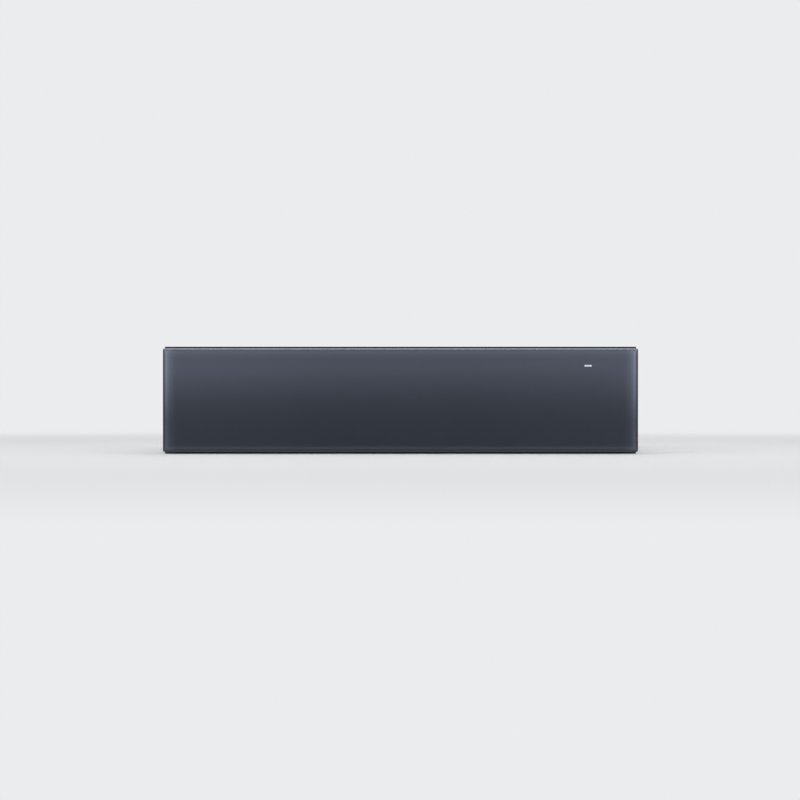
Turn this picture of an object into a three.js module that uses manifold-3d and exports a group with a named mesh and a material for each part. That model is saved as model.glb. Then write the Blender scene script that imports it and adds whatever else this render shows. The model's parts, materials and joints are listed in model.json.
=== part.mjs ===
// Built-in warming drawer, 60 cm class: a glass-fronted heated drawer on ball-bearing runners, inside a
// sheet-steel casing that stands in a kitchen cabinet. Pressing the front releases it, to be pulled out.
// Millimetres, +Z up. X runs to the right seen from the front, the front faces -Y, and the origin is at the
// middle of the underside.
import * as THREE from "three";
import { mergeVertices } from "three/addons/utils/BufferGeometryUtils.js";
import Module from "manifold-3d";

const wasm = await Module();
wasm.setup();

// ---------------------------------------------------------------------------------------------------------
// Driving dimensions
// ---------------------------------------------------------------------------------------------------------

// The whole appliance
const overallDepth = 540;
const overallHeight = 135;
const seat = 0.3; // gap left between pieces that touch
const runningGap = 0.5; // gap between pieces that pass each other
const pressTravel = 2.5; // how far the closed front is pressed in to release it

// Glass front
const frontWidth = 597;
const frontJoint = 2.5; // dark joint above and below the front
const glassThickness = 5;
const glassCorner = 2;
const glassArris = 0.8; // chamfer between the bevel and the edge
const glassBevel = 4.4; // from the front's edge to the inner side of its polished bevel
const glassBevelDrop = 0.5;
const glassCrown = 13; // width of the soft rise from the bevel to the flat
const glassCrownDrop = 0.4;
const indicatorFromSide = 62.9;
const indicatorFromTop = 21.8;
const indicatorLength = 9.6;
const indicatorHeight = 2.2;
const indicatorClearance = 1; // round the light guide, in the sheets that it passes

// Steel pan and inner panel behind the glass
const carrierInset = 2;
const carrierDepth = 11.7;
const carrierWall = 1;
const carrierCorner = 3;
const innerPanelWall = 0.8;

// Casing
const frontOverlap = 20.5; // how far the front reaches past the casing, over the cabinet's edge
const casingWall = 1;
const rearProjection = 5; // louvres and gland behind the rear panel
const baseFlange = 13;
const coverFlange = 14;
const flangeInset = 2; // from the front's edge to the edge of the flange on the cabinet
const flangeReturn = 30; // leg of that flange inside the casing's side
const foldRelief = 2; // gap between the ends of two folds that meet in a corner
const frameWall = 1.2;
const frameInset = 1; // from the front's edge to the frame's edge
const frameLowerBar = 4;
const frameUpperBar = 6;
const frameLip = 12;
const bumperRadius = 5;
const bumperHeight = 1.8;
const bumperChamfer = 1;
const bumperFromEdge = 14;
const cabinetScrewRadius = 2.5;
const cabinetScrewSpacing = 56;

// Runners: ball-bearing slides of three members
const railSetback = 3.7; // behind the casing's front edge
const railRearGap = 57; // from the runners' rear ends to the rear panel
const railHeight = 45;
const railThickness = 12.7;
const railWall = 1.2;
const railRise = 27.5; // from the chassis floor up to the runners
const railScrewEnd = 35; // from a runner's end to its first screw
const railScrewLength = 9; // slot for a runner screw
const railScrewWidth = 5;
const travelShort = 20; // by how much the drawer's travel is shorter than its runners
const outerLip = 4;
const outerFlange = 10;
const outerBallRadius = 1.9;
const innerBallRadius = 1.5;
const raceGap = 0.2; // gap between a ball and each of its races
const ballCount = 4;
const ballEnd = 16; // from a cage's end to its first ball
const cageMargin = 35; // what a cage is shorter than the overlap of its two members
const cageWall = 0.65;

// Drawer chassis
const chassisWall = 0.8;
const chassisFlange = 12;
const underClearance = 4; // from the frame's lower bar up to the chassis
const rearSpace = 26; // from the closed drawer to the rear panel

// Tub
const tubWall = 0.8;
const rimClearance = 13; // from the tub's rim up to the frame's upper bar
const heaterSpace = 16; // from the chassis floor up to the tub's floor
const sideRim = 25.7; // width of the level rim beside the tub
const frontRim = 7.4; // and in front of it
const fanSpace = 48; // from the tub's back wall to the chassis back
const tubCorner = 8;
const tubFillet = 4;
const tubRollRadius = 3; // where the wall turns over into the rim
const deckDepth = 52;
const deckFlange = 16;
const matThickness = 2.5;
const matMargin = 9;
const matChamfer = 0.8;

// Heating
const heaterRadius = 3.2;
const heaterBend = 25;
const heaterSideGap = 33; // from the tub's side wall to the element
const heaterFrontGap = 43;
const heaterBackGap = 40;
const heaterInnerX = 70;
const heaterTailX = 20;
const heaterTail = 10; // what the element's ends reach past the tub's back wall
const padThickness = 5;
const padMargin = 4;
const padCorner = 10;
const trayWall = 0.8;
const trayMargin = 14;
const trayCorner = 12;

// Fan
const fanHeadroom = 14; // from the impeller's edge up to the tub's rim, for the scroll
const impellerDepth = 13;
const impellerWall = 1.1;
const bladeCount = 10;
const shaftRadius = 2.5;
const scrollWall = 1;
const scrollGap = 5; // between impeller and the scroll's nearest wall
const scrollGrowth = 7;
const grilleMargin = 8; // from the grille's edge to the tub's floor and rim
const grilleFlange = 6;
const grilleDish = 5;
const grilleWall = 1;
const motorWidth = 60;
const motorHeight = 50;
const motorStack = 13;
const motorDrop = 6; // from the fan's axis down to the middle of the laminated stack
const probeX = 95; // cut-out and sensor, left and right of the fan
const probeDrop = 8;

// Controls
const fasciaWidth = 100;
const fasciaMargin = 5;
const fasciaThickness = 3.5;
const fasciaCorner = 4;
const fasciaRise = 0.8; // above the deck
const fasciaEnd = 9; // from the button to the fascia's right edge
const knobFromLeft = 33; // from the fascia's left edge to the knob's middle
const housingWall = 1.6;
const housingDepthZ = 24;
const housingMargin = 2; // what the housing is larger than the fascia at each side and behind
const knobRadius = 12;
const knobHeight = 9.2;
const spindleRadius = 3;
const thermostatRadius = 13;
const buttonSize = 13;
const buttonTravel = 1.5;
const boardWall = 1.6;
const boardLeftGap = 8;
const boardTopGap = 2;
const lampDepth = 3;
const lampGap = 1; // from the housing's front wall to the lamps
const lampFromMiddle = 2.6;
const lampWidth = 3;
const lampHeight = 2;
const bracketWall = 1.5;
const bracketReach = 36;

// Push latch
const latchX = -150;
const latchZ = 52;
const latchSize = 24;
const latchDepth = 18;
const latchEar = 11;
const latchScrewReach = 5; // from the housing's side to its screws
const latchScrewRadius = 1.8;
const plungerRadius = 4;
const strikerSize = 30;
const strikerWall = 1.5;

// Wiring
const harnessRadius = 2.5;
const harnessDrop = 14; // below the tub's rim
const harnessDip = 5; // further down to where it enters the housing
const harnessBend = 30; // behind the tub's front, where it turns towards the housing
const glandX = 200;
const glandZ = 30;
const glandBore = 5;
const glandWall = 2.6;
const ribbonThickness = 1.2;
const ribbonHeight = 12;
const ribbonPitch = 5;
const ribbonBend = 2.45;
const ribbonLead = 20; // from the terminal block to the ribbon's folds
const ribbonRun = 180;

// ---------------------------------------------------------------------------------------------------------
// Places worked out from the dimensions
// ---------------------------------------------------------------------------------------------------------

const glassFaceY = -overallDepth / 2;
const glassBackY = glassFaceY + glassThickness;
const frontMidZ = overallHeight / 2;
const frontHeight = overallHeight - 2 * frontJoint;
const frontTopZ = frontMidZ + frontHeight / 2;
const carrierFaceY = glassBackY + seat;
const carrierBackY = carrierFaceY + carrierDepth;
const drawerFrontY = carrierBackY + seat;
const bumperTipY = carrierBackY + pressTravel + runningGap;
const frameFaceY = bumperTipY + bumperHeight;
const frameBackY = frameFaceY + frameWall;
const casingFrontY = frameBackY + seat;
const rearFaceY = overallDepth / 2 - rearProjection;
const rearInnerY = rearFaceY - casingWall;
const casingHalf = frontWidth / 2 - frontOverlap;
const casingInner = casingHalf - casingWall;
const cabinetFlange = frontOverlap - flangeInset; // outward flange on the cabinet's front edge
const frameHalf = frontWidth / 2 - frameInset;
const coverUnderZ = overallHeight - casingWall;
const casingTopZ = coverUnderZ - seat; // top of what carries the cover
const mouthTopZ = overallHeight - frameUpperBar;
const chassisFloorZ = frameLowerBar + underClearance;
const tubRimZ = mouthTopZ - rimClearance;
const tubFloorZ = chassisFloorZ + heaterSpace;
const railBackX = casingInner - seat;
const railFrontY = casingFrontY + railSetback;
const railLength = rearInnerY - railRearGap - railFrontY;
const railMidY = railFrontY + railLength / 2;
const railCentreZ = chassisFloorZ + railRise + railHeight / 2;
const railScrewYs = [railFrontY + railScrewEnd, railMidY, railFrontY + railLength - railScrewEnd];
const drawerTravel = railLength - travelShort;
const cageLength = railLength - drawerTravel / 2 - cageMargin;
const chassisHalf = railBackX - railThickness - seat;
const chassisInner = chassisHalf - chassisWall;
const chassisTopZ = tubRimZ - tubWall - seat;
const chassisBackY = rearInnerY - rearSpace; // rear face of the closed drawer
const indicatorX = frontWidth / 2 - indicatorFromSide;
const indicatorZ = frontTopZ - indicatorFromTop;
const deckFrontY = drawerFrontY;
const deckBackY = deckFrontY + deckDepth;
const rimFrontY = deckBackY + seat;
const tubHalfX = chassisHalf - sideRim;
const tubFrontY = rimFrontY + frontRim;
const tubBackY = chassisBackY - fanSpace;
const tubMidY = (tubFrontY + tubBackY) / 2;
const tubHalfY = (tubBackY - tubFrontY) / 2;
const fanZ = (tubFloorZ + tubRimZ) / 2;
const impellerRadius = tubRimZ - fanZ - fanHeadroom;
const grilleRadius = (tubRimZ - tubFloorZ) / 2 - grilleMargin;
const grilleHole = grilleRadius - grilleFlange;
const fasciaFrontY = deckFrontY + fasciaMargin;
const fasciaBackY = deckBackY - fasciaMargin;
const fasciaMidY = (fasciaFrontY + fasciaBackY) / 2;
const fasciaRightX = indicatorX + buttonSize / 2 + fasciaEnd;
const fasciaLeftX = fasciaRightX - fasciaWidth;
const fasciaMidX = (fasciaLeftX + fasciaRightX) / 2;
const fasciaTopZ = tubRimZ + fasciaRise;
const fasciaUnderZ = fasciaTopZ - fasciaThickness;
const knobX = fasciaLeftX + knobFromLeft;
const housingHalfX = fasciaWidth / 2 + housingMargin;
const housingFrontY = deckFrontY + bracketWall + runningGap;
const housingBackY = fasciaBackY + housingMargin;
const housingTopZ = fasciaUnderZ - seat;
const housingFloorZ = housingTopZ - housingDepthZ;
const housingInsideZ = housingFloorZ + housingWall + seat; // underside of what stands in the housing

// ---------------------------------------------------------------------------------------------------------
// Materials
// ---------------------------------------------------------------------------------------------------------

function finish(color, roughness, metalness) {
  return new THREE.MeshStandardMaterial({ color, roughness, metalness });
}

const material = {
  glass: finish(0x3d4250, 0.18, 0.0),
  blackSteel: finish(0x141518, 0.45, 0.3),
  galvanised: finish(0xa9adb0, 0.42, 0.85),
  stainless: finish(0xb9babb, 0.3, 0.95),
  zincRail: finish(0xc2c4c4, 0.32, 0.9),
  bearing: finish(0xd6d8da, 0.12, 1.0),
  silicone: finish(0x26282b, 0.85, 0.0),
  blackPlastic: finish(0x18191b, 0.4, 0.0),
  greyPlastic: finish(0x6d7175, 0.55, 0.0),
  indicator: finish(0xe4e8f2, 0.3, 0.0),
  board: finish(0x2d5a3c, 0.6, 0.0),
  heater: finish(0x5b564f, 0.5, 0.8),
  insulation: finish(0xd9d2bd, 0.95, 0.0),
  motor: finish(0x4a4d52, 0.5, 0.7),
  wire: finish(0xc9c6bd, 0.6, 0.0),
};

// ---------------------------------------------------------------------------------------------------------
// Geometry helpers
// ---------------------------------------------------------------------------------------------------------

/** A closed geometry as a solid for boolean work. */
function solidOf(geometry) {
  const bare = geometry.index ? geometry.toNonIndexed() : geometry.clone();
  bare.deleteAttribute("normal");
  bare.deleteAttribute("uv");
  const merged = mergeVertices(bare, 1e-4);
  return new wasm.Manifold(
    new wasm.Mesh({
      numProp: 3,
      vertProperties: new Float32Array(merged.attributes.position.array),
      triVerts: new Uint32Array(merged.index.array),
    }),
  );
}

/** A solid back as a geometry. */
function geometryOf(solid) {
  const { vertProperties, triVerts } = solid.getMesh();
  const geometry = new THREE.BufferGeometry();
  geometry.setAttribute("position", new THREE.BufferAttribute(vertProperties, 3));
  geometry.setIndex(new THREE.BufferAttribute(triVerts, 1));
  geometry.computeVertexNormals();
  return geometry;
}

/** All the geometries joined into one. */
function join(...geometries) {
  return geometryOf(geometries.map(solidOf).reduce((whole, piece) => whole.add(piece)));
}

/** The base with each tool cut out of it. */
function cut(base, ...tools) {
  return geometryOf(tools.map(solidOf).reduce((whole, tool) => whole.subtract(tool), solidOf(base)));
}

/** A box between two corners. */
function block([x0, y0, z0], [x1, y1, z1]) {
  const box = new THREE.BoxGeometry(x1 - x0, y1 - y0, z1 - z0);
  return box.translate((x0 + x1) / 2, (y0 + y1) / 2, (z0 + z1) / 2);
}

/** An outline drawn in (y, z), swept along X. */
function alongX(shape, x0, x1) {
  const sweep = new THREE.ExtrudeGeometry(shape, { depth: x1 - x0, bevelEnabled: false });
  const turn = new THREE.Matrix4().makeBasis(
    new THREE.Vector3(0, 1, 0),
    new THREE.Vector3(0, 0, 1),
    new THREE.Vector3(1, 0, 0),
  );
  return sweep.applyMatrix4(turn).translate(x0, 0, 0);
}

/** An outline drawn in (x, z), swept along Y. */
function alongY(shape, y0, y1) {
  const sweep = new THREE.ExtrudeGeometry(shape, { depth: y1 - y0, bevelEnabled: false });
  return sweep.rotateX(Math.PI / 2).translate(0, y1, 0);
}

/** An outline drawn in (x, y), swept along Z. */
function alongZ(shape, z0, z1) {
  return new THREE.ExtrudeGeometry(shape, { depth: z1 - z0, bevelEnabled: false }).translate(0, 0, z0);
}

/** A bent sheet's outline: the path is its outer skin, and the wall lies on the left of the way it runs. */
function sheetOutline(path, wall) {
  const points = path.map(([u, v]) => new THREE.Vector2(u, v));
  const normals = points.slice(1).map((point, i) => {
    const run = point.clone().sub(points[i]).normalize();
    return new THREE.Vector2(-run.y, run.x);
  });
  const inner = points.map((point, i) => {
    const before = normals[Math.max(i - 1, 0)];
    const after = normals[Math.min(i, normals.length - 1)];
    const mitre = before.clone().add(after);
    return point.clone().addScaledVector(mitre, (2 * wall) / mitre.lengthSq());
  });
  return new THREE.Shape([...points, ...inner.reverse()]);
}

/** Points on an arc about (u, v). */
function arc(u, v, radius, from, to, steps) {
  return spread(steps + 1, from, to).map(
    (angle) => new THREE.Vector2(u + radius * Math.cos(angle), v + radius * Math.sin(angle)),
  );
}

/** Points round a rectangle with round corners, centred on (u, v). */
function roundedCorners(u, v, halfU, halfV, radius, steps) {
  const corners = [
    [1, 1],
    [-1, 1],
    [-1, -1],
    [1, -1],
  ];
  return corners.flatMap(([sideU, sideV], quarter) => {
    const centreU = u + sideU * (halfU - radius);
    const centreV = v + sideV * (halfV - radius);
    return arc(centreU, centreV, radius, (quarter * Math.PI) / 2, ((quarter + 1) * Math.PI) / 2, steps);
  });
}

/** A rectangle with round corners, as a shape or as a hole's path. */
function roundedRect(u, v, width, height, radius, steps = 2, Outline = THREE.Shape) {
  return new Outline(roundedCorners(u, v, width / 2, height / 2, radius, steps));
}

/** A disc centred on (u, v), as a shape or as a hole's path. */
function disc(u, v, radius, sides = 10, Outline = THREE.Shape) {
  return new Outline(arc(u, v, radius, 0, 2 * Math.PI, sides).slice(0, sides));
}

/** A slot with round ends, its length along u or along v. */
function slot(u, v, lengthU, lengthV) {
  const radius = Math.min(lengthU, lengthV) / 2;
  const [reachU, reachV] = [lengthU / 2 - radius, lengthV / 2 - radius];
  const start = reachU > reachV ? -Math.PI / 2 : 0;
  return new THREE.Shape([
    ...arc(u + reachU, v + reachV, radius, start, start + Math.PI, 3),
    ...arc(u - reachU, v - reachV, radius, start + Math.PI, start + 2 * Math.PI, 3),
  ]);
}

/** Values from first to last, evenly spaced. */
function spread(count, first, last) {
  return Array.from({ length: count }, (_, i) => first + ((last - first) * i) / Math.max(count - 1, 1));
}

/** Places of a row's copies, evenly pitched about its middle. */
function row(count, middle, pitch) {
  const reach = ((count - 1) / 2) * pitch;
  return spread(count, middle - reach, middle + reach);
}

/** One level of a pressed or moulded shell: a rounded rectangle at height z. */
function ring({ x = 0, y = 0, halfX, halfY, radius, z, steps = 3 }) {
  const corners = roundedCorners(x, y, halfX, halfY, radius, steps);
  return corners.map((point) => new THREE.Vector3(point.x, point.y, z));
}

/** The closed shell through a row of rings, capped at the first and the last. */
function loft(rings) {
  const size = rings[0].length;
  const positions = rings.flat().flatMap((point) => point.toArray());
  const faces = [];
  for (let level = 0; level < rings.length - 1; level += 1) {
    for (let i = 0; i < size; i += 1) {
      const [a, b] = [level * size + i, level * size + ((i + 1) % size)];
      faces.push(a, b, b + size, a, b + size, a + size);
    }
  }
  const last = (rings.length - 1) * size;
  for (let i = 1; i < size - 1; i += 1) {
    faces.push(0, i + 1, i, last, last + i, last + i + 1);
  }
  const geometry = new THREE.BufferGeometry();
  geometry.setAttribute("position", new THREE.Float32BufferAttribute(positions, 3));
  geometry.setIndex(faces);
  geometry.computeVertexNormals();
  return geometry;
}

/** An open box with round corners, its mouth upwards. */
function pan({ halfX, halfY, radius, z0, z1, wall, x = 0, y = 0, steps = 2 }) {
  const outer = { x, y, halfX, halfY, radius, steps };
  const inner = { x, y, halfX: halfX - wall, halfY: halfY - wall, radius: radius - wall / 2, steps };
  return loft([
    ring({ ...outer, z: z0 }),
    ring({ ...outer, z: z1 }),
    ring({ ...inner, z: z1 }),
    ring({ ...inner, z: z0 + wall }),
  ]);
}

/** A turned piece: (radius, height) pairs from the axis round to the axis, or closed on themselves. */
function turned(profile, segments = 20) {
  return new THREE.LatheGeometry(
    profile.map(([radius, height]) => new THREE.Vector2(radius, height)),
    segments,
  );
}

/** A cylinder along Y. */
function rodY(x, z, radius, y0, y1, segments = 20) {
  return new THREE.CylinderGeometry(radius, radius, y1 - y0, segments).translate(x, (y0 + y1) / 2, z);
}

/** A cylinder along Z. */
function rodZ(x, y, radius, z0, z1, segments = 20) {
  const rod = new THREE.CylinderGeometry(radius, radius, z1 - z0, segments);
  return rod.rotateX(Math.PI / 2).translate(x, y, (z0 + z1) / 2);
}

/** A route straight from point to point, so that what is swept along it has one section at each point. */
class Route extends THREE.Curve {
  constructor(points) {
    super();
    this.points = points.map((point) => new THREE.Vector3(...point));
  }

  getPoint(t, target = new THREE.Vector3()) {
    const place = t * (this.points.length - 1);
    const first = Math.min(Math.floor(place), this.points.length - 2);
    return target.lerpVectors(this.points[first], this.points[first + 1], place - first);
  }

  getPointAt(t, target) {
    return this.getPoint(t, target);
  }

  getTangentAt(t, target = new THREE.Vector3()) {
    const place = Math.round(t * (this.points.length - 1));
    const before = this.points[Math.max(place - 1, 0)];
    const after = this.points[Math.min(place + 1, this.points.length - 1)];
    return target.subVectors(after, before).normalize();
  }
}

/** A flat route through (u, v) corners, each rounded by an arc of the same radius. */
function roundedRoute(corners, radius, steps = 3) {
  const points = corners.map(([u, v]) => new THREE.Vector2(u, v));
  const route = [points[0]];
  for (let i = 1; i < points.length - 1; i += 1) {
    const back = points[i - 1].clone().sub(points[i]).normalize();
    const ahead = points[i + 1].clone().sub(points[i]).normalize();
    const halfTurn = Math.acos(THREE.MathUtils.clamp(back.dot(ahead), -1, 1)) / 2;
    const reach = radius / Math.tan(halfTurn);
    const inwards = back.clone().add(ahead).normalize();
    const centre = inwards.multiplyScalar(radius / Math.sin(halfTurn)).add(points[i]);
    const start = back.multiplyScalar(reach).add(points[i]);
    const end = ahead.multiplyScalar(reach).add(points[i]);
    const first = start.clone().sub(centre).angle();
    const sweep = end.clone().sub(centre).angle() - first;
    const shortSweep = sweep - 2 * Math.PI * Math.round(sweep / (2 * Math.PI));
    for (const angle of spread(steps + 1, first, first + shortSweep)) {
      route.push(new THREE.Vector2(Math.cos(angle), Math.sin(angle)).multiplyScalar(radius).add(centre));
    }
  }
  route.push(points[points.length - 1]);
  return route;
}

/** A round bar or wire along a route. */
function bar(points, radius, sides = 8) {
  return new THREE.ExtrudeGeometry(disc(0, 0, radius, sides), {
    steps: points.length - 1,
    extrudePath: new Route(points),
    bevelEnabled: false,
  });
}

/** A named mesh. */
function piece(name, geometry, look) {
  const mesh = new THREE.Mesh(geometry, look);
  mesh.name = name;
  return mesh;
}

/** The right-hand piece and its mirror image on the left. */
function pair(name, geometry, look) {
  const right = piece(`${name}_right`, geometry, look);
  const left = piece(`${name}_left`, geometry, look);
  left.scale.x = -1;
  return [right, left];
}

/** A group of meshes. */
function assembly(...meshes) {
  const group = new THREE.Group();
  group.add(...meshes.flat());
  return group;
}

// ---------------------------------------------------------------------------------------------------------
// Casing: base, sides, rear panel, cover and the black front frame
// ---------------------------------------------------------------------------------------------------------

const beadWidth = 12;
const beadDepth = 1.6;
const beadFromMiddle = 160;
const beadEndMargin = 55;
const baseVentLength = 52;
const baseVentWidth = 8;
const baseVentPitch = 30;

/** A stiffening bead pressed into a level sheet, its outer skin at skinZ: [body to join, groove to cut]. */
function bead(x, y, lengthX, lengthY, skinZ, inward, wall) {
  const groove = slot(x, y, lengthX, lengthY);
  const back = slot(x, y, lengthX + 2 * wall, lengthY + 2 * wall);
  const [floor, under] = [skinZ + inward * beadDepth, skinZ + inward * (beadDepth + wall)];
  const middle = skinZ + inward * wall * 0.5;
  return [
    alongZ(back, Math.min(middle, under), Math.max(middle, under)),
    alongZ(groove, Math.min(skinZ - inward, floor), Math.max(skinZ - inward, floor)),
  ];
}

/** The sheet with all its beads. */
function beaded(sheet, beads) {
  return cut(join(sheet, ...beads.map(([body]) => body)), ...beads.map(([, groove]) => groove));
}

function casingBase() {
  const half = casingInner - seat;
  const outline = sheetOutline(
    [
      [-half, baseFlange],
      [-half, 0],
      [half, 0],
      [half, baseFlange],
    ],
    casingWall,
  );
  const sheet = alongY(outline, casingFrontY, rearInnerY - seat);
  const length = rearInnerY - casingFrontY - 2 * beadEndMargin;
  const middle = (rearInnerY + casingFrontY) / 2;
  const beads = [-beadFromMiddle, beadFromMiddle].map((x) =>
    bead(x, middle, beadWidth, length, 0, 1, casingWall),
  );
  const vents = row(7, 0, baseVentPitch).map((x) =>
    alongZ(slot(x, middle, baseVentWidth, baseVentLength), -1, casingWall + 1),
  );
  return cut(beaded(sheet, beads), ...vents);
}

const cabinetScrewX = casingHalf + cabinetFlange / 2;
const cabinetScrewZs = row(2, frontMidZ, cabinetScrewSpacing);
const sideVentHeight = 26;
const sideVentWidth = 5;
const sideVentPitch = 20;
const sideVentTop = 10.7; // from the casing's top down to the vents
const sideVentRear = 90; // from the rear panel to the middle of the row

function casingSide() {
  const length = [casingFrontY, rearInnerY - seat];
  const webAndCoverFlange = sheetOutline(
    [
      [casingHalf, 0],
      [casingHalf, casingTopZ],
      [casingHalf - coverFlange, casingTopZ],
    ],
    casingWall,
  );
  const plan = sheetOutline(
    [
      [casingInner, casingFrontY + flangeReturn],
      [casingInner, casingFrontY],
      [casingHalf + cabinetFlange, casingFrontY],
    ].reverse(),
    -casingWall,
  );
  const side = join(alongY(webAndCoverFlange, ...length), alongZ(plan, 0, casingTopZ));
  const railScrews = railScrewYs.map((y) =>
    alongX(slot(y, railCentreZ, railScrewLength, railScrewWidth), casingInner - 1, casingHalf + 1),
  );
  const ventZ = casingTopZ - sideVentTop - sideVentHeight / 2;
  const vents = row(5, rearInnerY - sideVentRear, sideVentPitch).map((y) =>
    alongX(slot(y, ventZ, sideVentWidth, sideVentHeight), casingInner - 1, casingHalf + 1),
  );
  const cabinetScrews = cabinetScrewZs.map((z) =>
    rodY(cabinetScrewX, z, cabinetScrewRadius, casingFrontY - 1, casingFrontY + casingWall + 1, 12),
  );
  return cut(side, ...railScrews, ...vents, ...cabinetScrews);
}

const louvreWidth = 70;
const louvreHeight = 7;
const louvreLip = 1;
const louvreReach = rearProjection - louvreLip;
const louvrePitch = 18;
const louvreFromMiddle = 90;
const louvreRise = 12.5; // from the middle of the height up to the middle louvre

/** A pressed louvre on the rear panel, open downwards: [hood to join, hollow to cut]. */
function louvre(x, z) {
  const insideY = rearFaceY - casingWall / 2;
  const hood = (reach, rise, drop) => {
    const bow = spread(5, Math.PI / 2, 0).map(
      (angle) => new THREE.Vector2(rearFaceY + reach * Math.cos(angle), z + rise * Math.sin(angle)),
    );
    return new THREE.Shape([
      new THREE.Vector2(insideY, z + rise),
      ...bow,
      new THREE.Vector2(rearFaceY + reach, z - drop),
      new THREE.Vector2(insideY, z - drop),
    ]);
  };
  const [left, right] = [x - louvreWidth / 2, x + louvreWidth / 2];
  const hollow = hood(louvreReach - casingWall, louvreHeight - casingWall, 2 * louvreLip);
  const through = block(
    [left + casingWall, rearInnerY - 1, z],
    [right - casingWall, rearFaceY, z + louvreHeight - casingWall],
  );
  return [
    alongX(hood(louvreReach, louvreHeight, louvreLip), left, right),
    join(alongX(hollow, left + casingWall, right - casingWall), through),
  ];
}

const glandNeck = glandBore + glandWall;
const latchScrewXs = row(2, latchX, latchSize + 2 * latchScrewReach);

function casingRearPanel() {
  const foldHalf = casingInner - coverFlange - seat - foldRelief;
  const folds = sheetOutline(
    [
      [rearInnerY - baseFlange, casingWall + seat],
      [rearFaceY, casingWall + seat],
      [rearFaceY, casingTopZ],
      [rearInnerY - baseFlange, casingTopZ],
    ],
    casingWall,
  );
  const plate = block([-casingHalf, rearInnerY, 0], [casingHalf, rearFaceY, casingTopZ]);
  const louvres = [-louvreFromMiddle, louvreFromMiddle].flatMap((x) =>
    row(3, frontMidZ + louvreRise, louvrePitch).map((z) => louvre(x, z)),
  );
  const glandHole = rodY(glandX, glandZ, glandNeck + seat, rearInnerY - 1, rearFaceY + 1, 16);
  const latchScrews = latchScrewXs.map((x) =>
    rodY(x, latchZ, latchScrewRadius + seat, rearInnerY - 1, rearFaceY + 1, 10),
  );
  return cut(
    join(plate, alongX(folds, -foldHalf, foldHalf), ...louvres.map(([hood]) => hood)),
    ...louvres.map(([, hollow]) => hollow),
    glandHole,
    ...latchScrews,
  );
}

const coverBeadSide = 75; // from the cover's side to the ends of its beads
const coverBeadFront = 95;
const coverBeadRear = 130;
const coverVentLength = 32;
const coverVentWidth = 5;
const coverVentPitch = 50;
const coverVentRear = 45;

function casingTopCover() {
  const sheet = block([-casingHalf, casingFrontY, coverUnderZ], [casingHalf, rearFaceY, overallHeight]);
  const length = 2 * (casingHalf - coverBeadSide);
  const beads = spread(3, casingFrontY + coverBeadFront, rearFaceY - coverBeadRear).map((y) =>
    bead(0, y, length, beadWidth, overallHeight, -1, casingWall),
  );
  const ventY = rearFaceY - coverVentRear;
  const vents = row(7, 0, coverVentPitch).map((x) =>
    alongZ(slot(x, ventY, coverVentLength, coverVentWidth), coverUnderZ - 1, overallHeight + 1),
  );
  return cut(beaded(sheet, beads), ...vents);
}

function frontFrame() {
  const mouthHalf = casingInner - runningGap;
  const face = new THREE.Shape([
    new THREE.Vector2(-frameHalf, 0),
    new THREE.Vector2(frameHalf, 0),
    new THREE.Vector2(frameHalf, overallHeight),
    new THREE.Vector2(-frameHalf, overallHeight),
  ]);
  const mouth = new THREE.Path([
    new THREE.Vector2(-mouthHalf, frameLowerBar),
    new THREE.Vector2(-mouthHalf, mouthTopZ),
    new THREE.Vector2(mouthHalf, mouthTopZ),
    new THREE.Vector2(mouthHalf, frameLowerBar),
  ]);
  face.holes.push(mouth, ...cabinetScrewPaths());
  const lipHalf = casingInner - coverFlange - foldRelief;
  const upperLip = block(
    [-lipHalf, frameFaceY + frameWall / 2, mouthTopZ],
    [lipHalf, frameBackY + frameLip, mouthTopZ + frameWall],
  );
  const lowerLip = block(
    [-lipHalf, frameFaceY + frameWall / 2, frameLowerBar - frameWall],
    [lipHalf, frameBackY + frameLip, frameLowerBar],
  );
  return join(alongY(face, frameFaceY, frameBackY), upperLip, lowerLip);
}

function cabinetScrewPaths() {
  return [-1, 1].flatMap((side) =>
    cabinetScrewZs.map((z) => disc(side * cabinetScrewX, z, cabinetScrewRadius, 10, THREE.Path)),
  );
}

/** A rubber bumper on the frame, which the pressed front meets. */
function bumper(side, level) {
  const profile = [
    [0, frameFaceY - seat],
    [bumperRadius, frameFaceY - seat],
    [bumperRadius, bumperTipY + bumperChamfer / 2],
    [bumperRadius - bumperChamfer, bumperTipY],
    [0, bumperTipY],
  ].reverse();
  const name = `frame_bumper_${level > 0 ? "upper" : "lower"}_${side > 0 ? "right" : "left"}`;
  const mesh = piece(name, turned(profile, 12), material.silicone);
  mesh.position.set(side * cabinetScrewX, 0, frontMidZ + level * (frontHeight / 2 - bumperFromEdge));
  return mesh;
}

function casing() {
  return assembly(
    piece("casing_base", casingBase(), material.galvanised),
    pair("casing_side", casingSide(), material.galvanised),
    piece("casing_rear_panel", casingRearPanel(), material.galvanised),
    piece("casing_top_cover", casingTopCover(), material.galvanised),
    piece("front_frame", frontFrame(), material.blackSteel),
    [-1, 1].flatMap((side) => [-1, 1].map((level) => bumper(side, level))),
  );
}

// ---------------------------------------------------------------------------------------------------------
// Runners: an outer member on the casing, a middle member, an inner member on the drawer, and a cage of balls
// in each of the two gaps. Sections are drawn in (t, h): t from the casing's side towards the drawer, and h
// up from the runner's middle.
// ---------------------------------------------------------------------------------------------------------

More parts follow.
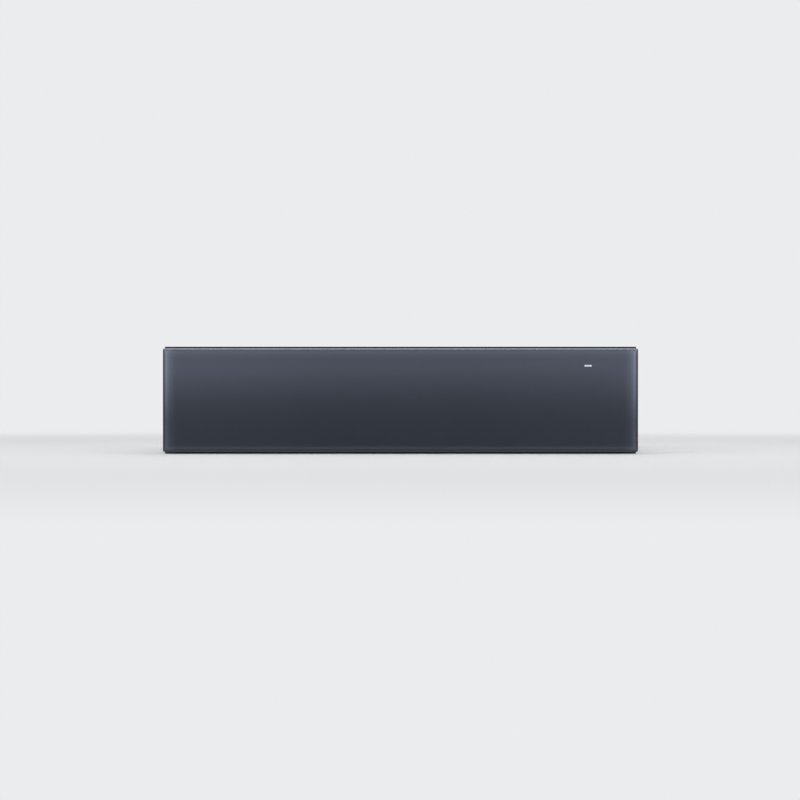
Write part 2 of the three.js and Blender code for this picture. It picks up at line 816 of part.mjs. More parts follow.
const outerRaceH = railHeight / 2 - railWall;
const outerBallH = outerRaceH - raceGap - outerBallRadius;
const middleTopH = outerBallH - outerBallRadius - raceGap;
const middleRaceH = middleTopH - railWall;
const innerBallH = middleRaceH - raceGap - innerBallRadius;
const innerTopH = innerBallH - innerBallRadius - raceGap;
const cageGap = 0.35; // gap between a cage's web and the webs beside it
const outerCageT = railWall + cageGap;
const middleWebT = outerCageT + cageWall + cageGap;
const innerCageT = middleWebT + railWall + cageGap;
const innerTipT = innerCageT + cageWall + cageGap + runningGap;
const outerBallT = middleWebT + railWall + outerBallRadius;
const innerBallT = innerTipT + innerBallRadius + raceGap;
const middleFlangeT = railThickness - railWall - raceGap - runningGap;
const outerCageLip = 2.4; // how far the cage reaches past the middles of its balls
const innerCageLip = 1.9;
const middleWindowEnd = 120; // from the middle member's end to its slot

/** A runner's section as an outline in (x, z) on the right-hand side. */
function railSection(path, wall) {
  const flat = sheetOutline(path, wall);
  return new THREE.Shape(
    flat.getPoints(1).map(({ x, y }) => new THREE.Vector2(railBackX - x, railCentreZ + y)),
  );
}

/** A C-shaped section open towards the drawer, with a lip at each flange's end. */
function channelPath(webT, topH, flangeT, lip) {
  return [
    [flangeT, topH - lip],
    [flangeT, topH],
    [webT, topH],
    [webT, -topH],
    [flangeT, -topH],
    [flangeT, -topH + lip],
  ];
}

function railScrewSlots(t0, t1, ys) {
  return ys.map((y) =>
    alongX(slot(y, railCentreZ, railScrewLength, railScrewWidth), railBackX - t1, railBackX - t0),
  );
}

function outerMember() {
  const section = railSection(channelPath(0, railHeight / 2, outerFlange, outerLip), railWall);
  return cut(
    alongY(section, railFrontY, railFrontY + railLength),
    ...railScrewSlots(-1, railWall + 0.5, railScrewYs),
  );
}

function middleMember() {
  const section = railSection(channelPath(middleWebT, middleTopH, middleFlangeT, outerLip), railWall);
  const windows = row(2, railMidY, railLength - 2 * middleWindowEnd);
  return cut(
    alongY(section, railFrontY, railFrontY + railLength),
    ...railScrewSlots(middleWebT - 1, middleWebT + railWall + 0.5, windows),
  );
}

function innerMember() {
  const path = [
    [innerTipT, -innerTopH],
    [railThickness, -innerTopH],
    [railThickness, innerTopH],
    [innerTipT, innerTopH],
  ];
  const section = railSection(path, railWall);
  return cut(
    alongY(section, railFrontY, railFrontY + railLength),
    ...railScrewSlots(railThickness - railWall - 0.5, railThickness + 1, railScrewYs),
  );
}

/** A cage with a row of balls along its upper and its lower edge. */
function ballCage(webT, edgeT, ballT, ballH, ballRadius) {
  const outerH = ballH + cageWall / 2;
  const section = railSection(channelPath(webT, outerH, edgeT, 0).slice(1, 5), cageWall);
  const strip = alongY(section, railMidY - cageLength / 2, railMidY + cageLength / 2);
  const reach = cageLength / 2 - ballEnd;
  const balls = spread(ballCount, railMidY - reach, railMidY + reach).flatMap((y) =>
    [-ballH, ballH].map((h) =>
      new THREE.SphereGeometry(ballRadius, 6, 4).translate(railBackX - ballT, y, railCentreZ + h),
    ),
  );
  return join(strip, ...balls);
}

function runners() {
  const outerCage = ballCage(outerCageT, outerBallT + outerCageLip, outerBallT, outerBallH, outerBallRadius);
  const innerCage = ballCage(innerCageT, innerBallT + innerCageLip, innerBallT, innerBallH, innerBallRadius);
  return assembly(
    pair("runner_outer_member", outerMember(), material.zincRail),
    pair("runner_middle_member", middleMember(), material.zincRail),
    pair("runner_inner_member", innerMember(), material.zincRail),
    pair("ball_cage_outer", outerCage, material.bearing),
    pair("ball_cage_inner", innerCage, material.bearing),
  );
}

// ---------------------------------------------------------------------------------------------------------
// Drawer front: bevelled glass, steel pan, inner panel and the light guide
// ---------------------------------------------------------------------------------------------------------

/** A shell lofted upwards, turned so that up becomes forwards (-Y), at the middle of the front. */
function facingFront(geometry, baseY) {
  return geometry.rotateX(Math.PI / 2).translate(0, baseY, frontMidZ);
}

function frontGlass() {
  const level = (inset, z) =>
    ring({
      halfX: frontWidth / 2 - inset,
      halfY: frontHeight / 2 - inset,
      radius: glassCorner,
      z,
      steps: 3,
    });
  const crownFoot = glassThickness - glassCrownDrop;
  const edge = crownFoot - glassBevelDrop;
  const crown = spread(4, 1, 0).map((t) =>
    level(glassBevel + glassCrown * (1 - t), glassThickness - glassCrownDrop * t ** 2),
  );
  return facingFront(
    loft([
      level(glassArris, 0),
      level(0, glassArris),
      level(0, edge - glassArris),
      level(glassArris, edge),
      ...crown,
    ]),
    glassBackY,
  );
}

/** The clear way through sheet metal for the light guide. */
function indicatorWay(y0, y1) {
  const outline = slot(
    indicatorX,
    indicatorZ,
    indicatorLength + 2 * indicatorClearance,
    indicatorHeight + 2 * indicatorClearance,
  );
  return alongY(outline, y0, y1);
}

const carrierHalfX = frontWidth / 2 - carrierInset;
const carrierHalfZ = frontHeight / 2 - carrierInset;

function frontCarrier() {
  const shell = pan({
    halfX: carrierHalfX,
    halfY: carrierHalfZ,
    radius: carrierCorner,
    z0: carrierFaceY,
    z1: carrierBackY,
    wall: carrierWall,
  });
  const turnedBack = shell.rotateX(-Math.PI / 2).translate(0, 0, frontMidZ);
  return cut(turnedBack, indicatorWay(carrierFaceY - 1, carrierFaceY + carrierWall + 1));
}

function frontInnerPanel() {
  const inset = carrierWall + seat;
  const [width, height] = [2 * (carrierHalfX - inset), 2 * (carrierHalfZ - inset)];
  const outline = roundedRect(0, frontMidZ, width, height, carrierCorner);
  const sheet = alongY(outline, carrierBackY - innerPanelWall, carrierBackY);
  return cut(sheet, indicatorWay(carrierBackY - innerPanelWall - 1, carrierBackY + 1));
}

const boardFrontY = housingFrontY + housingWall + seat + lampDepth + lampGap;

function indicatorLens() {
  const outline = slot(indicatorX, indicatorZ, indicatorLength, indicatorHeight);
  return alongY(outline, glassBackY + seat, boardFrontY - lampDepth - seat);
}

/** The angle that ties the front to the chassis side. */
function frontBracket() {
  const cornerX = chassisInner - seat;
  const outline = sheetOutline(
    [
      [cornerX - bracketReach, drawerFrontY],
      [cornerX, drawerFrontY],
      [cornerX, drawerFrontY + bracketReach],
    ],
    bracketWall,
  );
  const lower = chassisFloorZ + chassisWall + chassisFlange + seat;
  const upper = tubRimZ - deckFlange - seat;
  return alongZ(outline, lower, upper);
}

function drawerFront() {
  return assembly(
    piece("front_glass", frontGlass(), material.glass),
    piece("front_carrier", frontCarrier(), material.blackSteel),
    piece("front_inner_panel", frontInnerPanel(), material.stainless),
    piece("indicator_lens", indicatorLens(), material.indicator),
    pair("front_bracket", frontBracket(), material.galvanised),
  );
}

// ---------------------------------------------------------------------------------------------------------
// Drawer body: chassis, tub, deck and mat
// ---------------------------------------------------------------------------------------------------------

const fanVentLength = 60; // air intake in the chassis base under the fan's compartment
const fanVentWidth = 4;
const fanVentPitch = 8.5;
const fanVentX = 110;
const backVentLength = 26; // air intake in the chassis back beside the motor
const backVentWidth = 5;
const backVentPitch = 14;
const backVentX = 48;
const railScrewRadius = 2.5;

function chassisBase() {
  const half = chassisInner - seat;
  const outline = sheetOutline(
    [
      [-half, chassisFloorZ + chassisWall + chassisFlange],
      [-half, chassisFloorZ],
      [half, chassisFloorZ],
      [half, chassisFloorZ + chassisWall + chassisFlange],
    ],
    chassisWall,
  );
  const vents = [-fanVentX, fanVentX].flatMap((x) =>
    row(5, (tubBackY + chassisBackY) / 2, fanVentPitch).map((y) =>
      alongZ(slot(x, y, fanVentLength, fanVentWidth), chassisFloorZ - 1, chassisFloorZ + chassisWall + 1),
    ),
  );
  return cut(alongY(outline, drawerFrontY, chassisBackY - chassisWall - seat), ...vents);
}

function chassisSide() {
  const outline = sheetOutline(
    [
      [chassisHalf, chassisFloorZ],
      [chassisHalf, chassisTopZ],
      [chassisHalf - chassisFlange, chassisTopZ],
    ],
    chassisWall,
  );
  const side = alongY(outline, deckBackY, chassisBackY - chassisWall - seat);
  const web = block([chassisInner, drawerFrontY, chassisFloorZ], [chassisHalf, deckBackY + 1, chassisTopZ]);
  const screws = railScrewYs.map((y) =>
    alongX(disc(y, railCentreZ, railScrewRadius, 8), chassisInner - 1, chassisHalf + 1),
  );
  return cut(join(side, web), ...screws);
}

function chassisBack() {
  const outline = sheetOutline(
    [
      [chassisBackY - chassisFlange, chassisFloorZ + chassisWall + seat],
      [chassisBackY, chassisFloorZ + chassisWall + seat],
      [chassisBackY, chassisTopZ],
      [chassisBackY - chassisFlange, chassisTopZ],
    ],
    chassisWall,
  );
  const foldHalf = chassisInner - chassisFlange - 2 * foldRelief;
  const plate = block(
    [-chassisHalf, chassisBackY - chassisWall, chassisFloorZ],
    [chassisHalf, chassisBackY, chassisTopZ],
  );
  const vents = [-backVentX, backVentX].flatMap((x) =>
    row(3, fanZ, backVentPitch).map((z) =>
      alongY(slot(x, z, backVentLength, backVentWidth), chassisBackY - chassisWall - 1, chassisBackY + 1),
    ),
  );
  return cut(join(plate, alongX(outline, -foldHalf, foldHalf)), ...vents);
}

const rimCorner = 2;
const airSlotLength = 24;
const airSlotWidth = 5;
const airSlotPitch = 40;
const airSlotRise = 7; // above the fillet at the tub's floor

/** The pressed tub: its skin runs from the underside up the outside, over the rim and down the inside. */
function warmingTub() {
  const level = (grow, z) =>
    ring({ y: tubMidY, halfX: tubHalfX + grow, halfY: tubHalfY + grow, radius: tubCorner + grow, z });
  const rim = (z) =>
    ring({
      y: (rimFrontY + chassisBackY) / 2,
      halfX: chassisHalf,
      halfY: (chassisBackY - rimFrontY) / 2,
      radius: rimCorner,
      z,
    });
  const innerFloorZ = tubFloorZ + tubWall;
  const quarter = spread(3, 0, Math.PI / 2).map((angle) => [1 - Math.sin(angle), 1 - Math.cos(angle)]);
  const fillet = (radius, floorZ, grow) =>
    quarter.map(([across, up]) => level(grow - radius * across, floorZ + radius * up));
  const roll = (radius, topZ, grow) =>
    quarter.map(([down, across]) => level(grow + radius * across, topZ - radius * down));
  const shell = loft([
    ...fillet(tubFillet + tubWall, tubFloorZ, tubWall),
    ...roll(tubRollRadius - tubWall, tubRimZ - tubWall, tubWall),
    rim(tubRimZ - tubWall),
    rim(tubRimZ),
    ...roll(tubRollRadius, tubRimZ, 0).reverse(),
    ...fillet(tubFillet, innerFloorZ, 0).reverse(),
  ]);
  const fanHole = rodY(0, fanZ, grilleHole, tubBackY - 1, tubBackY + tubWall + 1, 24);
  const airSlotZ = innerFloorZ + tubFillet + airSlotRise;
  const airSlots = row(9, 0, airSlotPitch).map((x) =>
    alongY(slot(x, airSlotZ, airSlotLength, airSlotWidth), tubFrontY - tubWall - 1, tubFrontY + 1),
  );
  return cut(shell, fanHole, ...airSlots);
}

function antiSlipMat() {
  const level = (inset, z) =>
    ring({
      y: tubMidY,
      halfX: tubHalfX - matMargin - inset,
      halfY: tubHalfY - matMargin - inset,
      radius: tubCorner - matMargin / 2,
      z,
    });
  const under = tubFloorZ + tubWall + seat;
  return loft([
    level(0, under),
    level(0, under + matThickness - matChamfer),
    level(matChamfer, under + matThickness),
  ]);
}

/** The stainless strip between the front and the tub, which carries the control fascia. */
function controlDeck() {
  const flangeHalf = chassisInner - seat;
  const outline = sheetOutline(
    [
      [deckBackY, tubRimZ - deckFlange / 2],
      [deckBackY, tubRimZ],
      [deckFrontY, tubRimZ],
      [deckFrontY, tubRimZ - deckFlange],
    ],
    tubWall,
  );
  const top = block([-chassisHalf, deckFrontY, tubRimZ - tubWall], [chassisHalf, deckBackY, tubRimZ]);
  const opening = roundedRect(
    fasciaMidX,
    fasciaMidY,
    fasciaWidth + 2 * runningGap,
    fasciaBackY - fasciaFrontY + 2 * runningGap,
    fasciaCorner,
  );
  return cut(
    join(top, alongX(outline, -flangeHalf, flangeHalf)),
    alongZ(opening, tubRimZ - tubWall - 1, tubRimZ + 1),
    indicatorWay(deckFrontY - 1, deckFrontY + tubWall + 1),
  );
}

function drawerBody() {
  return assembly(
    piece("chassis_base", chassisBase(), material.galvanised),
    pair("chassis_side", chassisSide(), material.galvanised),
    piece("chassis_back", chassisBack(), material.galvanised),
    piece("warming_tub", warmingTub(), material.stainless),
    piece("anti_slip_mat", antiSlipMat(), material.silicone),
    piece("control_deck", controlDeck(), material.stainless),
  );
}

// ---------------------------------------------------------------------------------------------------------
// Controls: fascia, knob, button and what is under them
// ---------------------------------------------------------------------------------------------------------

const buttonHole = buttonSize + 2 * runningGap;
const buttonCorner = 2;
const spindleClearance = 1.5; // round the spindle, in the fascia

function controlFascia() {
  const outline = roundedRect(fasciaMidX, fasciaMidY, fasciaWidth, fasciaBackY - fasciaFrontY, fasciaCorner);
  const holeCorner = buttonCorner + runningGap;
  outline.holes.push(disc(knobX, fasciaMidY, spindleRadius + spindleClearance, 12, THREE.Path));
  outline.holes.push(roundedRect(indicatorX, fasciaMidY, buttonHole, buttonHole, holeCorner, 2, THREE.Path));
  return alongZ(outline, fasciaUnderZ, fasciaTopZ);
}

function controlHousing() {
  const shell = pan({
    x: fasciaMidX,
    y: (housingFrontY + housingBackY) / 2,
    halfX: housingHalfX,
    halfY: (housingBackY - housingFrontY) / 2,
    radius: fasciaCorner,
    z0: housingFloorZ,
    z1: housingTopZ,
    wall: housingWall,
  });
  return cut(shell, indicatorWay(housingFrontY - 1, housingFrontY + housingWall + 1));
}

/** The circuit board, upright behind the light guide, with its two lamps. */
function controlBoard() {
  const board = block(
    [fasciaLeftX + boardLeftGap, boardFrontY, housingInsideZ],
    [fasciaRightX - boardTopGap, boardFrontY + boardWall, housingTopZ - boardTopGap],
  );
  const lamps = row(2, indicatorX, 2 * lampFromMiddle).map((x) =>
    block(
      [x - lampWidth / 2, boardFrontY - lampDepth, indicatorZ - lampHeight / 2],
      [x + lampWidth / 2, boardFrontY + boardWall / 2, indicatorZ + lampHeight / 2],
    ),
  );
  return join(board, ...lamps);
}

const knobBaseZ = fasciaTopZ + seat;
const knobTopZ = knobBaseZ + knobHeight;
const knobRoof = 3.4; // from the top of the spindle up to the knob's top
const knobFluteCount = 10;
const knobFluteRadius = 1;
const knobSkirt = 2.2; // height of the skirt under the grip
const pointerWidth = 1.8;
const pointerRise = 0.6;
const spindleTopZ = knobTopZ - knobRoof;
const spindleFlat = 1; // depth of the flat on the spindle
const bushWall = 2;
const bushHeight = 7;
const thermostatTopZ = housingTopZ - bushHeight;
const thermostatFloor = 4;
const earReach = 4;
const earWall = 1.2;

/** The rotary thermostat's body, with the bush that its spindle turns in. */
function thermostat() {
  const body = rodZ(knobX, fasciaMidY, thermostatRadius, housingInsideZ, thermostatTopZ, 20);
  const bush = rodZ(knobX, fasciaMidY, spindleRadius + bushWall, thermostatTopZ - 1, housingTopZ, 16);
  const ear = block(
    [knobX - thermostatRadius - earReach, fasciaMidY - earReach, thermostatTopZ - earWall],
    [knobX + thermostatRadius + earReach, fasciaMidY + earReach, thermostatTopZ],
  );
  const boreFloorZ = housingInsideZ + thermostatFloor;
  const bore = rodZ(knobX, fasciaMidY, spindleRadius + seat, boreFloorZ, housingTopZ + 1, 16);
  return cut(join(body, bush, ear), bore);
}

function knobSpindle() {
  const lower = housingInsideZ + thermostatFloor + seat;
  const rod = rodZ(knobX, fasciaMidY, spindleRadius, lower, spindleTopZ, 16);
  const flat = block(
    [knobX - spindleRadius, fasciaMidY - spindleRadius - 1, fasciaTopZ],
    [knobX + spindleRadius, fasciaMidY - spindleRadius + spindleFlat, spindleTopZ + 1],
  );
  return cut(rod, flat);
}

/** The knob: skirt, fluted grip, a raised pointer and a blind bore for the spindle. */
function temperatureKnob() {
  const skirt = [
    [0, knobBaseZ],
    [knobRadius, knobBaseZ],
    [knobRadius, knobBaseZ + knobSkirt - 0.6],
    [knobRadius - 1.4, knobBaseZ + knobSkirt],
    [knobRadius - 2, knobTopZ - 1],
    [knobRadius - 3, knobTopZ],
    [0, knobTopZ],
  ];
  const upright = turned(skirt, 24).rotateX(Math.PI / 2).translate(knobX, fasciaMidY, 0);
  const fluteReach = knobRadius - 1.2;
  const flutes = Array.from({ length: knobFluteCount }, (_, i) => {
    const angle = (2 * Math.PI * (i + 0.5)) / knobFluteCount;
    const x = knobX + fluteReach * Math.cos(angle);
    const y = fasciaMidY + fluteReach * Math.sin(angle);
    return rodZ(x, y, knobFluteRadius, knobBaseZ + knobSkirt, knobTopZ + 1, 5);
  });
  const pointer = block(
    [knobX - pointerWidth / 2, fasciaMidY + 2, knobTopZ - 1],
    [knobX + pointerWidth / 2, fasciaMidY + knobRadius - 3.4, knobTopZ + pointerRise],
  );
  const bore = rodZ(knobX, fasciaMidY, spindleRadius + seat, knobBaseZ - 1, spindleTopZ + seat, 16);
  return cut(join(upright, pointer), ...flutes, bore);
}

function powerButton() {
  const level = (inset, z) =>
    ring({
      x: indicatorX,
      y: fasciaMidY,
      halfX: buttonSize / 2 - inset,
      halfY: buttonSize / 2 - inset,
      radius: buttonCorner,
      z,
      steps: 2,
    });
  const topZ = fasciaTopZ + buttonRise;
  return loft([
    level(0, switchTopZ + buttonTravel + seat),
    level(0, topZ - 0.8),
    level(0.8, topZ),
    level(2.2, topZ),
    level(3.4, topZ - buttonDish),
  ]);
}

const buttonRise = 2.4; // above the fascia, not pressed
const buttonDish = 0.4;
const switchHalf = 8;
const switchTopZ = fasciaUnderZ - 3;

function powerSwitch() {
  return block(
    [indicatorX - switchHalf, fasciaMidY - switchHalf, housingInsideZ],
    [indicatorX + switchHalf, fasciaMidY + switchHalf, switchTopZ],
  );
}

function controls() {
  return assembly(
    piece("control_fascia", controlFascia(), material.blackPlastic),
    piece("control_housing", controlHousing(), material.greyPlastic),
    piece("control_board", controlBoard(), material.board),
    piece("thermostat", thermostat(), material.greyPlastic),
    piece("knob_spindle", knobSpindle(), material.bearing),
    piece("temperature_knob", temperatureKnob(), material.blackPlastic),
    piece("power_button", powerButton(), material.blackPlastic),
    piece("power_switch", powerSwitch(), material.greyPlastic),
  );
}

// ---------------------------------------------------------------------------------------------------------
// Heating: insulation, reflector tray and the tubular element under the tub's floor
// ---------------------------------------------------------------------------------------------------------

const padTopZ = chassisFloorZ + chassisWall + seat + padThickness;
const trayFloorZ = padTopZ + seat;
const heaterZ = trayFloorZ + trayWall + seat + heaterRadius;
const heaterTailY = tubBackY + heaterTail;
const heaterHalfX = tubHalfX - heaterSideGap;
const heaterFrontY = tubFrontY + heaterFrontGap;
const heaterBackY = tubBackY - heaterBackGap;
const ductReach = 14; // what the scroll's duct is wider than the scroll's nearest wall
const ductHalf = impellerRadius + scrollGap + ductReach + 2;
const trayVentHalf = 14;
const trayVentPitch = 50;
const trayVentSill = 4;

function insulationPad() {
  const [width, depth] = [2 * (tubHalfX - padMargin), 2 * (tubHalfY - padMargin)];
  const outline = roundedRect(0, tubMidY, width, depth, padCorner);
  return alongZ(outline, chassisFloorZ + chassisWall + seat, padTopZ);
}

function heaterTray() {
  const shell = pan({
    y: tubMidY,
    halfX: tubHalfX - trayMargin,
    halfY: tubHalfY - trayMargin,
    radius: trayCorner,
    z0: trayFloorZ,
    z1: tubFloorZ - seat,
    wall: trayWall,
  });
  const ductWay = block(
    [-ductHalf, tubBackY - trayMargin - 4, trayFloorZ + trayWall],
    [ductHalf, tubBackY, tubFloorZ],
  );
  const airWays = row(7, 0, trayVentPitch).map((x) =>
    block(
      [x - trayVentHalf, tubFrontY, trayFloorZ + trayVentSill],
      [x + trayVentHalf, tubFrontY + trayMargin + 4, tubFloorZ],
    ),
  );
  return cut(shell, ductWay, ...airWays);
}

/** The sheathed element: one tube bent back and forth, its two cold ends side by side at the rear. */
function heaterElement() {
  const half = [
    [heaterTailX, heaterTailY],
    [heaterTailX, heaterBackY],
    [heaterHalfX, heaterBackY],
    [heaterHalfX, heaterFrontY],
    [heaterInnerX, heaterFrontY],
    [heaterInnerX, heaterBackY - 3 * heaterBend],
  ];
  const otherHalf = half.map(([x, y]) => [-x, y]).reverse();
  const route = roundedRoute([...half, ...otherHalf], heaterBend);
  return bar(
    route.map(({ x, y }) => [x, y, heaterZ]),
    heaterRadius,
    6,
  );
}

function heating() {
  return assembly(
    piece("insulation_pad", insulationPad(), material.insulation),
    piece("heater_tray", heaterTray(), material.stainless),
    piece("heater_element", heaterElement(), material.heater),
  );
}

// ---------------------------------------------------------------------------------------------------------
// Fan behind the tub: grille, impeller, scroll and motor
// ---------------------------------------------------------------------------------------------------------

const tubRearY = tubBackY + tubWall + seat; // where what hangs on the tub's back wall begins
const impellerGap = 3; // in front of the impeller
const impellerRear = 2; // and behind it
const impellerFrontY = tubRearY + impellerGap;
const impellerBackY = impellerFrontY + impellerDepth;
const scrollBackY = impellerBackY + impellerRear + scrollWall;
const motorFrontY = scrollBackY + seat;
const motorArm = 5; // depth of the motor's feet
const motorStackY = motorFrontY + motorArm;
const motorBearing = 13;
const motorCap = 3; // bearing and coil behind the stack
const coilWidth = 34;
const coilHeight = 18;
const hubRadius = 7;
const impellerEye = 0.62; // of the impeller's radius
const grilleSlotPitch = 10;
const grilleSlotWidth = 4.6;
const grilleSlotEnd = 4.5;

/** The dished fan cover on the tub's back wall, with its air slots. */
function fanGrille() {
  const [seatY, faceY] = [tubBackY - seat, tubBackY - seat - grilleDish];
  const dishRadius = grilleHole - 0.6 * grilleDish;
  const profile = [
    [0, faceY - grilleWall],
    [dishRadius, faceY - grilleWall],
    [grilleHole, seatY - grilleWall],
    [grilleRadius, seatY - grilleWall],
    [grilleRadius, seatY],
    [grilleHole, seatY],
    [dishRadius - 0.6, faceY],
    [0, faceY],
  ];
  const dish = turned(profile, 24).translate(0, 0, fanZ);
  const slots = row(5, 0, grilleSlotPitch).map((h) => {
    const length = 2 * (Math.sqrt(dishRadius ** 2 - h ** 2) - grilleSlotEnd);
    return alongY(slot(0, fanZ + h, length, grilleSlotWidth), faceY - grilleWall - 1, faceY + 1);
  });
  return cut(dish, ...slots);
}

/** A backward-curved blade as an arc of thin sheet. */
function blade(angle) {
  const camber = spread(3, 0, 1).map((t) => {
    const radius = THREE.MathUtils.lerp(impellerRadius * 0.5, impellerRadius - 1, t);
    const turn = angle - 0.55 * t;
    return [radius * Math.cos(turn), fanZ + radius * Math.sin(turn)];
  });
  const depth = [impellerFrontY + impellerWall / 2, impellerBackY - impellerWall / 2];
  return alongY(sheetOutline(camber, impellerWall), ...depth);
}

function fanImpeller() {
  const backPlate = rodY(0, fanZ, impellerRadius, impellerBackY - impellerWall, impellerBackY, 24);
  const eye = alongY(disc(0, fanZ, impellerRadius, 20), impellerFrontY, impellerFrontY + impellerWall);
  const eyeBackY = impellerFrontY + impellerWall;
  const eyeHole = rodY(0, fanZ, impellerRadius * impellerEye, impellerFrontY - 1, eyeBackY + 1, 24);
  const hub = rodY(0, fanZ, hubRadius, impellerFrontY + 3, impellerBackY, 14);
  const shaft = rodY(0, fanZ, shaftRadius, impellerBackY - 1, motorStackY + motorStack - 1, 12);
  const blades = spread(bladeCount + 1, 0, 2 * Math.PI).slice(0, bladeCount).map(blade);
  return join(backPlate, cut(eye, eyeHole), hub, shaft, ...blades);
}

/** The scroll's outline, grown by a wall, opening into a duct that goes down under the tub. */
function scrollOutline(grow) {
  const nearest = impellerRadius + scrollGap + grow;
  const spiral = spread(17, -0.1 * Math.PI, 1.5 * Math.PI).map((angle, i) => {
    const radius = nearest + (scrollGrowth * (16 - i)) / 16;
    return new THREE.Vector2(-radius * Math.cos(angle), fanZ + radius * Math.sin(angle));
  });
  const ductZ = heaterZ + heaterRadius + seat - (grow > 0 ? 0 : scrollWall);
  const right = nearest + ductReach;
  return new THREE.Shape([
    ...spiral,
    new THREE.Vector2(nearest * 0.4, ductZ),
    new THREE.Vector2(-right, ductZ),
    new THREE.Vector2(-right, fanZ - nearest * 0.55),
  ]);
}

function fanHousing() {
  const shell = alongY(scrollOutline(scrollWall), tubRearY, scrollBackY);
  const hollow = alongY(scrollOutline(0), tubRearY - 1, scrollBackY - scrollWall);
  const shaftHole = rodY(0, fanZ, shaftRadius + 4, scrollBackY - scrollWall - 1, scrollBackY + 1, 14);
  return cut(shell, hollow, shaftHole);
}

/** The shaded-pole motor: a laminated stack, its coil, and a bearing bracket each side of the rotor. */
function fanMotor() {
  const stackZ = fanZ - motorDrop;
  const stackBackY = motorStackY + motorStack;
  const stack = alongY(roundedRect(0, stackZ, motorWidth, motorHeight, 3), motorStackY, stackBackY);
  const rotorHousing = rodY(0, fanZ, motorBearing, motorFrontY, stackBackY + motorCap, 18);
  const coilOutline = roundedRect(0, stackZ - motorHeight / 2 + coilHeight / 3, coilWidth, coilHeight, 5);
  const coil = alongY(coilOutline, motorStackY - motorCap, stackBackY + motorCap);
  const armHalf = motorWidth / 2 - 2;
  const arms = block([-armHalf, motorFrontY, fanZ - 4], [armHalf, motorStackY + 1, fanZ + 4]);
  const bore = rodY(0, fanZ, shaftRadius + seat, motorFrontY - 1, stackBackY, 14);
  return cut(join(stack, rotorHousing, coil, arms), bore);
}

const cutoutFlange = 12;
const cutoutBody = 8;
const cutoutDepth = 9;
const bladeReach = 8;
const probeLength = 16;

/** The safety cut-out: a bimetal disc with two blade terminals, on the back of the tub. */
function thermalCutout() {
  const z = fanZ - probeDrop;
  const flange = rodY(-probeX, z, cutoutFlange, tubRearY, tubRearY + 1.2, 16);
  const body = rodY(-probeX, z, cutoutBody, tubRearY + 0.6, tubRearY + cutoutDepth, 16);
  const bodyBackY = tubRearY + cutoutDepth;
  const blades = row(2, -probeX, cutoutBody).map((x) =>
    block([x - 0.4, bodyBackY - 1, z - 3], [x + 0.4, bodyBackY + bladeReach, z + 3]),
  );
  return join(flange, body, ...blades);
}

function temperatureSensor() {
  const profile = [
    [0, tubRearY],
    [7, tubRearY],
    [7, tubRearY + 2],
    [3.2, tubRearY + 3],
    [3.2, tubRearY + probeLength],
    [0, tubRearY + probeLength],
  ];
  return turned(profile, 12).translate(probeX, 0, fanZ - probeDrop);
}

function fan() {
  return assembly(
    piece("fan_grille", fanGrille(), material.stainless),
    piece("fan_impeller", fanImpeller(), material.motor),
    piece("fan_housing", fanHousing(), material.galvanised),
    piece("fan_motor", fanMotor(), material.motor),
    piece("thermal_cutout", thermalCutout(), material.blackPlastic),
    piece("temperature_sensor", temperatureSensor(), material.zincRail),
  );
}

// ---------------------------------------------------------------------------------------------------------
// Push latch: a sprung plunger in a housing on the rear panel, and the striker on the drawer
// ---------------------------------------------------------------------------------------------------------

const strikerBackY = chassisBackY + seat + strikerWall;
const plungerTipY = strikerBackY + pressTravel + seat;
const latchBackY = rearInnerY - seat;
const latchFrontY = latchBackY - latchDepth;
const latchBoreFloor = 1.5;
const latchFootHeight = 14;
const latchFootWall = 2.5;
const plungerBackY = latchBackY - latchBoreFloor - pressTravel - seat;

function latchHousing() {
  const body = alongY(roundedRect(latchX, latchZ, latchSize, latchSize, 4), latchFrontY, latchBackY);
  const footOutline = roundedRect(latchX, latchZ, latchSize + 2 * latchEar, latchFootHeight, 4);
  const foot = alongY(footOutline, latchBackY - latchFootWall, latchBackY);
  const bore = rodY(latchX, latchZ, plungerRadius + seat, latchFrontY - 1, latchBackY - latchBoreFloor, 16);
  const screws = latchScrewXs.map((x) =>
    rodY(x, latchZ, latchScrewRadius, latchBackY - latchFootWall - 1, latchBackY + 1, 10),
  );
  return cut(join(body, foot), bore, ...screws);
}

function latchPlunger() {
  const profile = [
    [0, plungerTipY],
    [plungerRadius - 1, plungerTipY],
    [plungerRadius, plungerTipY + 1],
    [plungerRadius, plungerBackY],
    [0, plungerBackY],
  ];
  return turned(profile, 16).translate(latchX, 0, latchZ);
}

function latchStriker() {
  const outline = roundedRect(latchX, latchZ, strikerSize, strikerSize, 4);
  return alongY(outline, chassisBackY + seat, strikerBackY);
}

function latch() {
  return assembly(
    piece("latch_housing", latchHousing(), material.greyPlastic),
    piece("latch_plunger", latchPlunger(), material.blackPlastic),
    piece("latch_striker", latchStriker(), material.zincRail),
  );
}

// ---------------------------------------------------------------------------------------------------------
// Wiring: cable gland and terminal block on the casing, folded ribbon to the drawer, harness to the controls
// ---------------------------------------------------------------------------------------------------------

const terminalX = 145;
const terminalZ = 40;
const terminalWidth = 40;
const terminalHeight = 22;
const terminalDepth = 13;
const terminalPitch = 12;
const wellRadius = 3;
const wellDepth = 8;
const glandFlange = 3;
const glandInside = 8; // how far the bush reaches into the casing

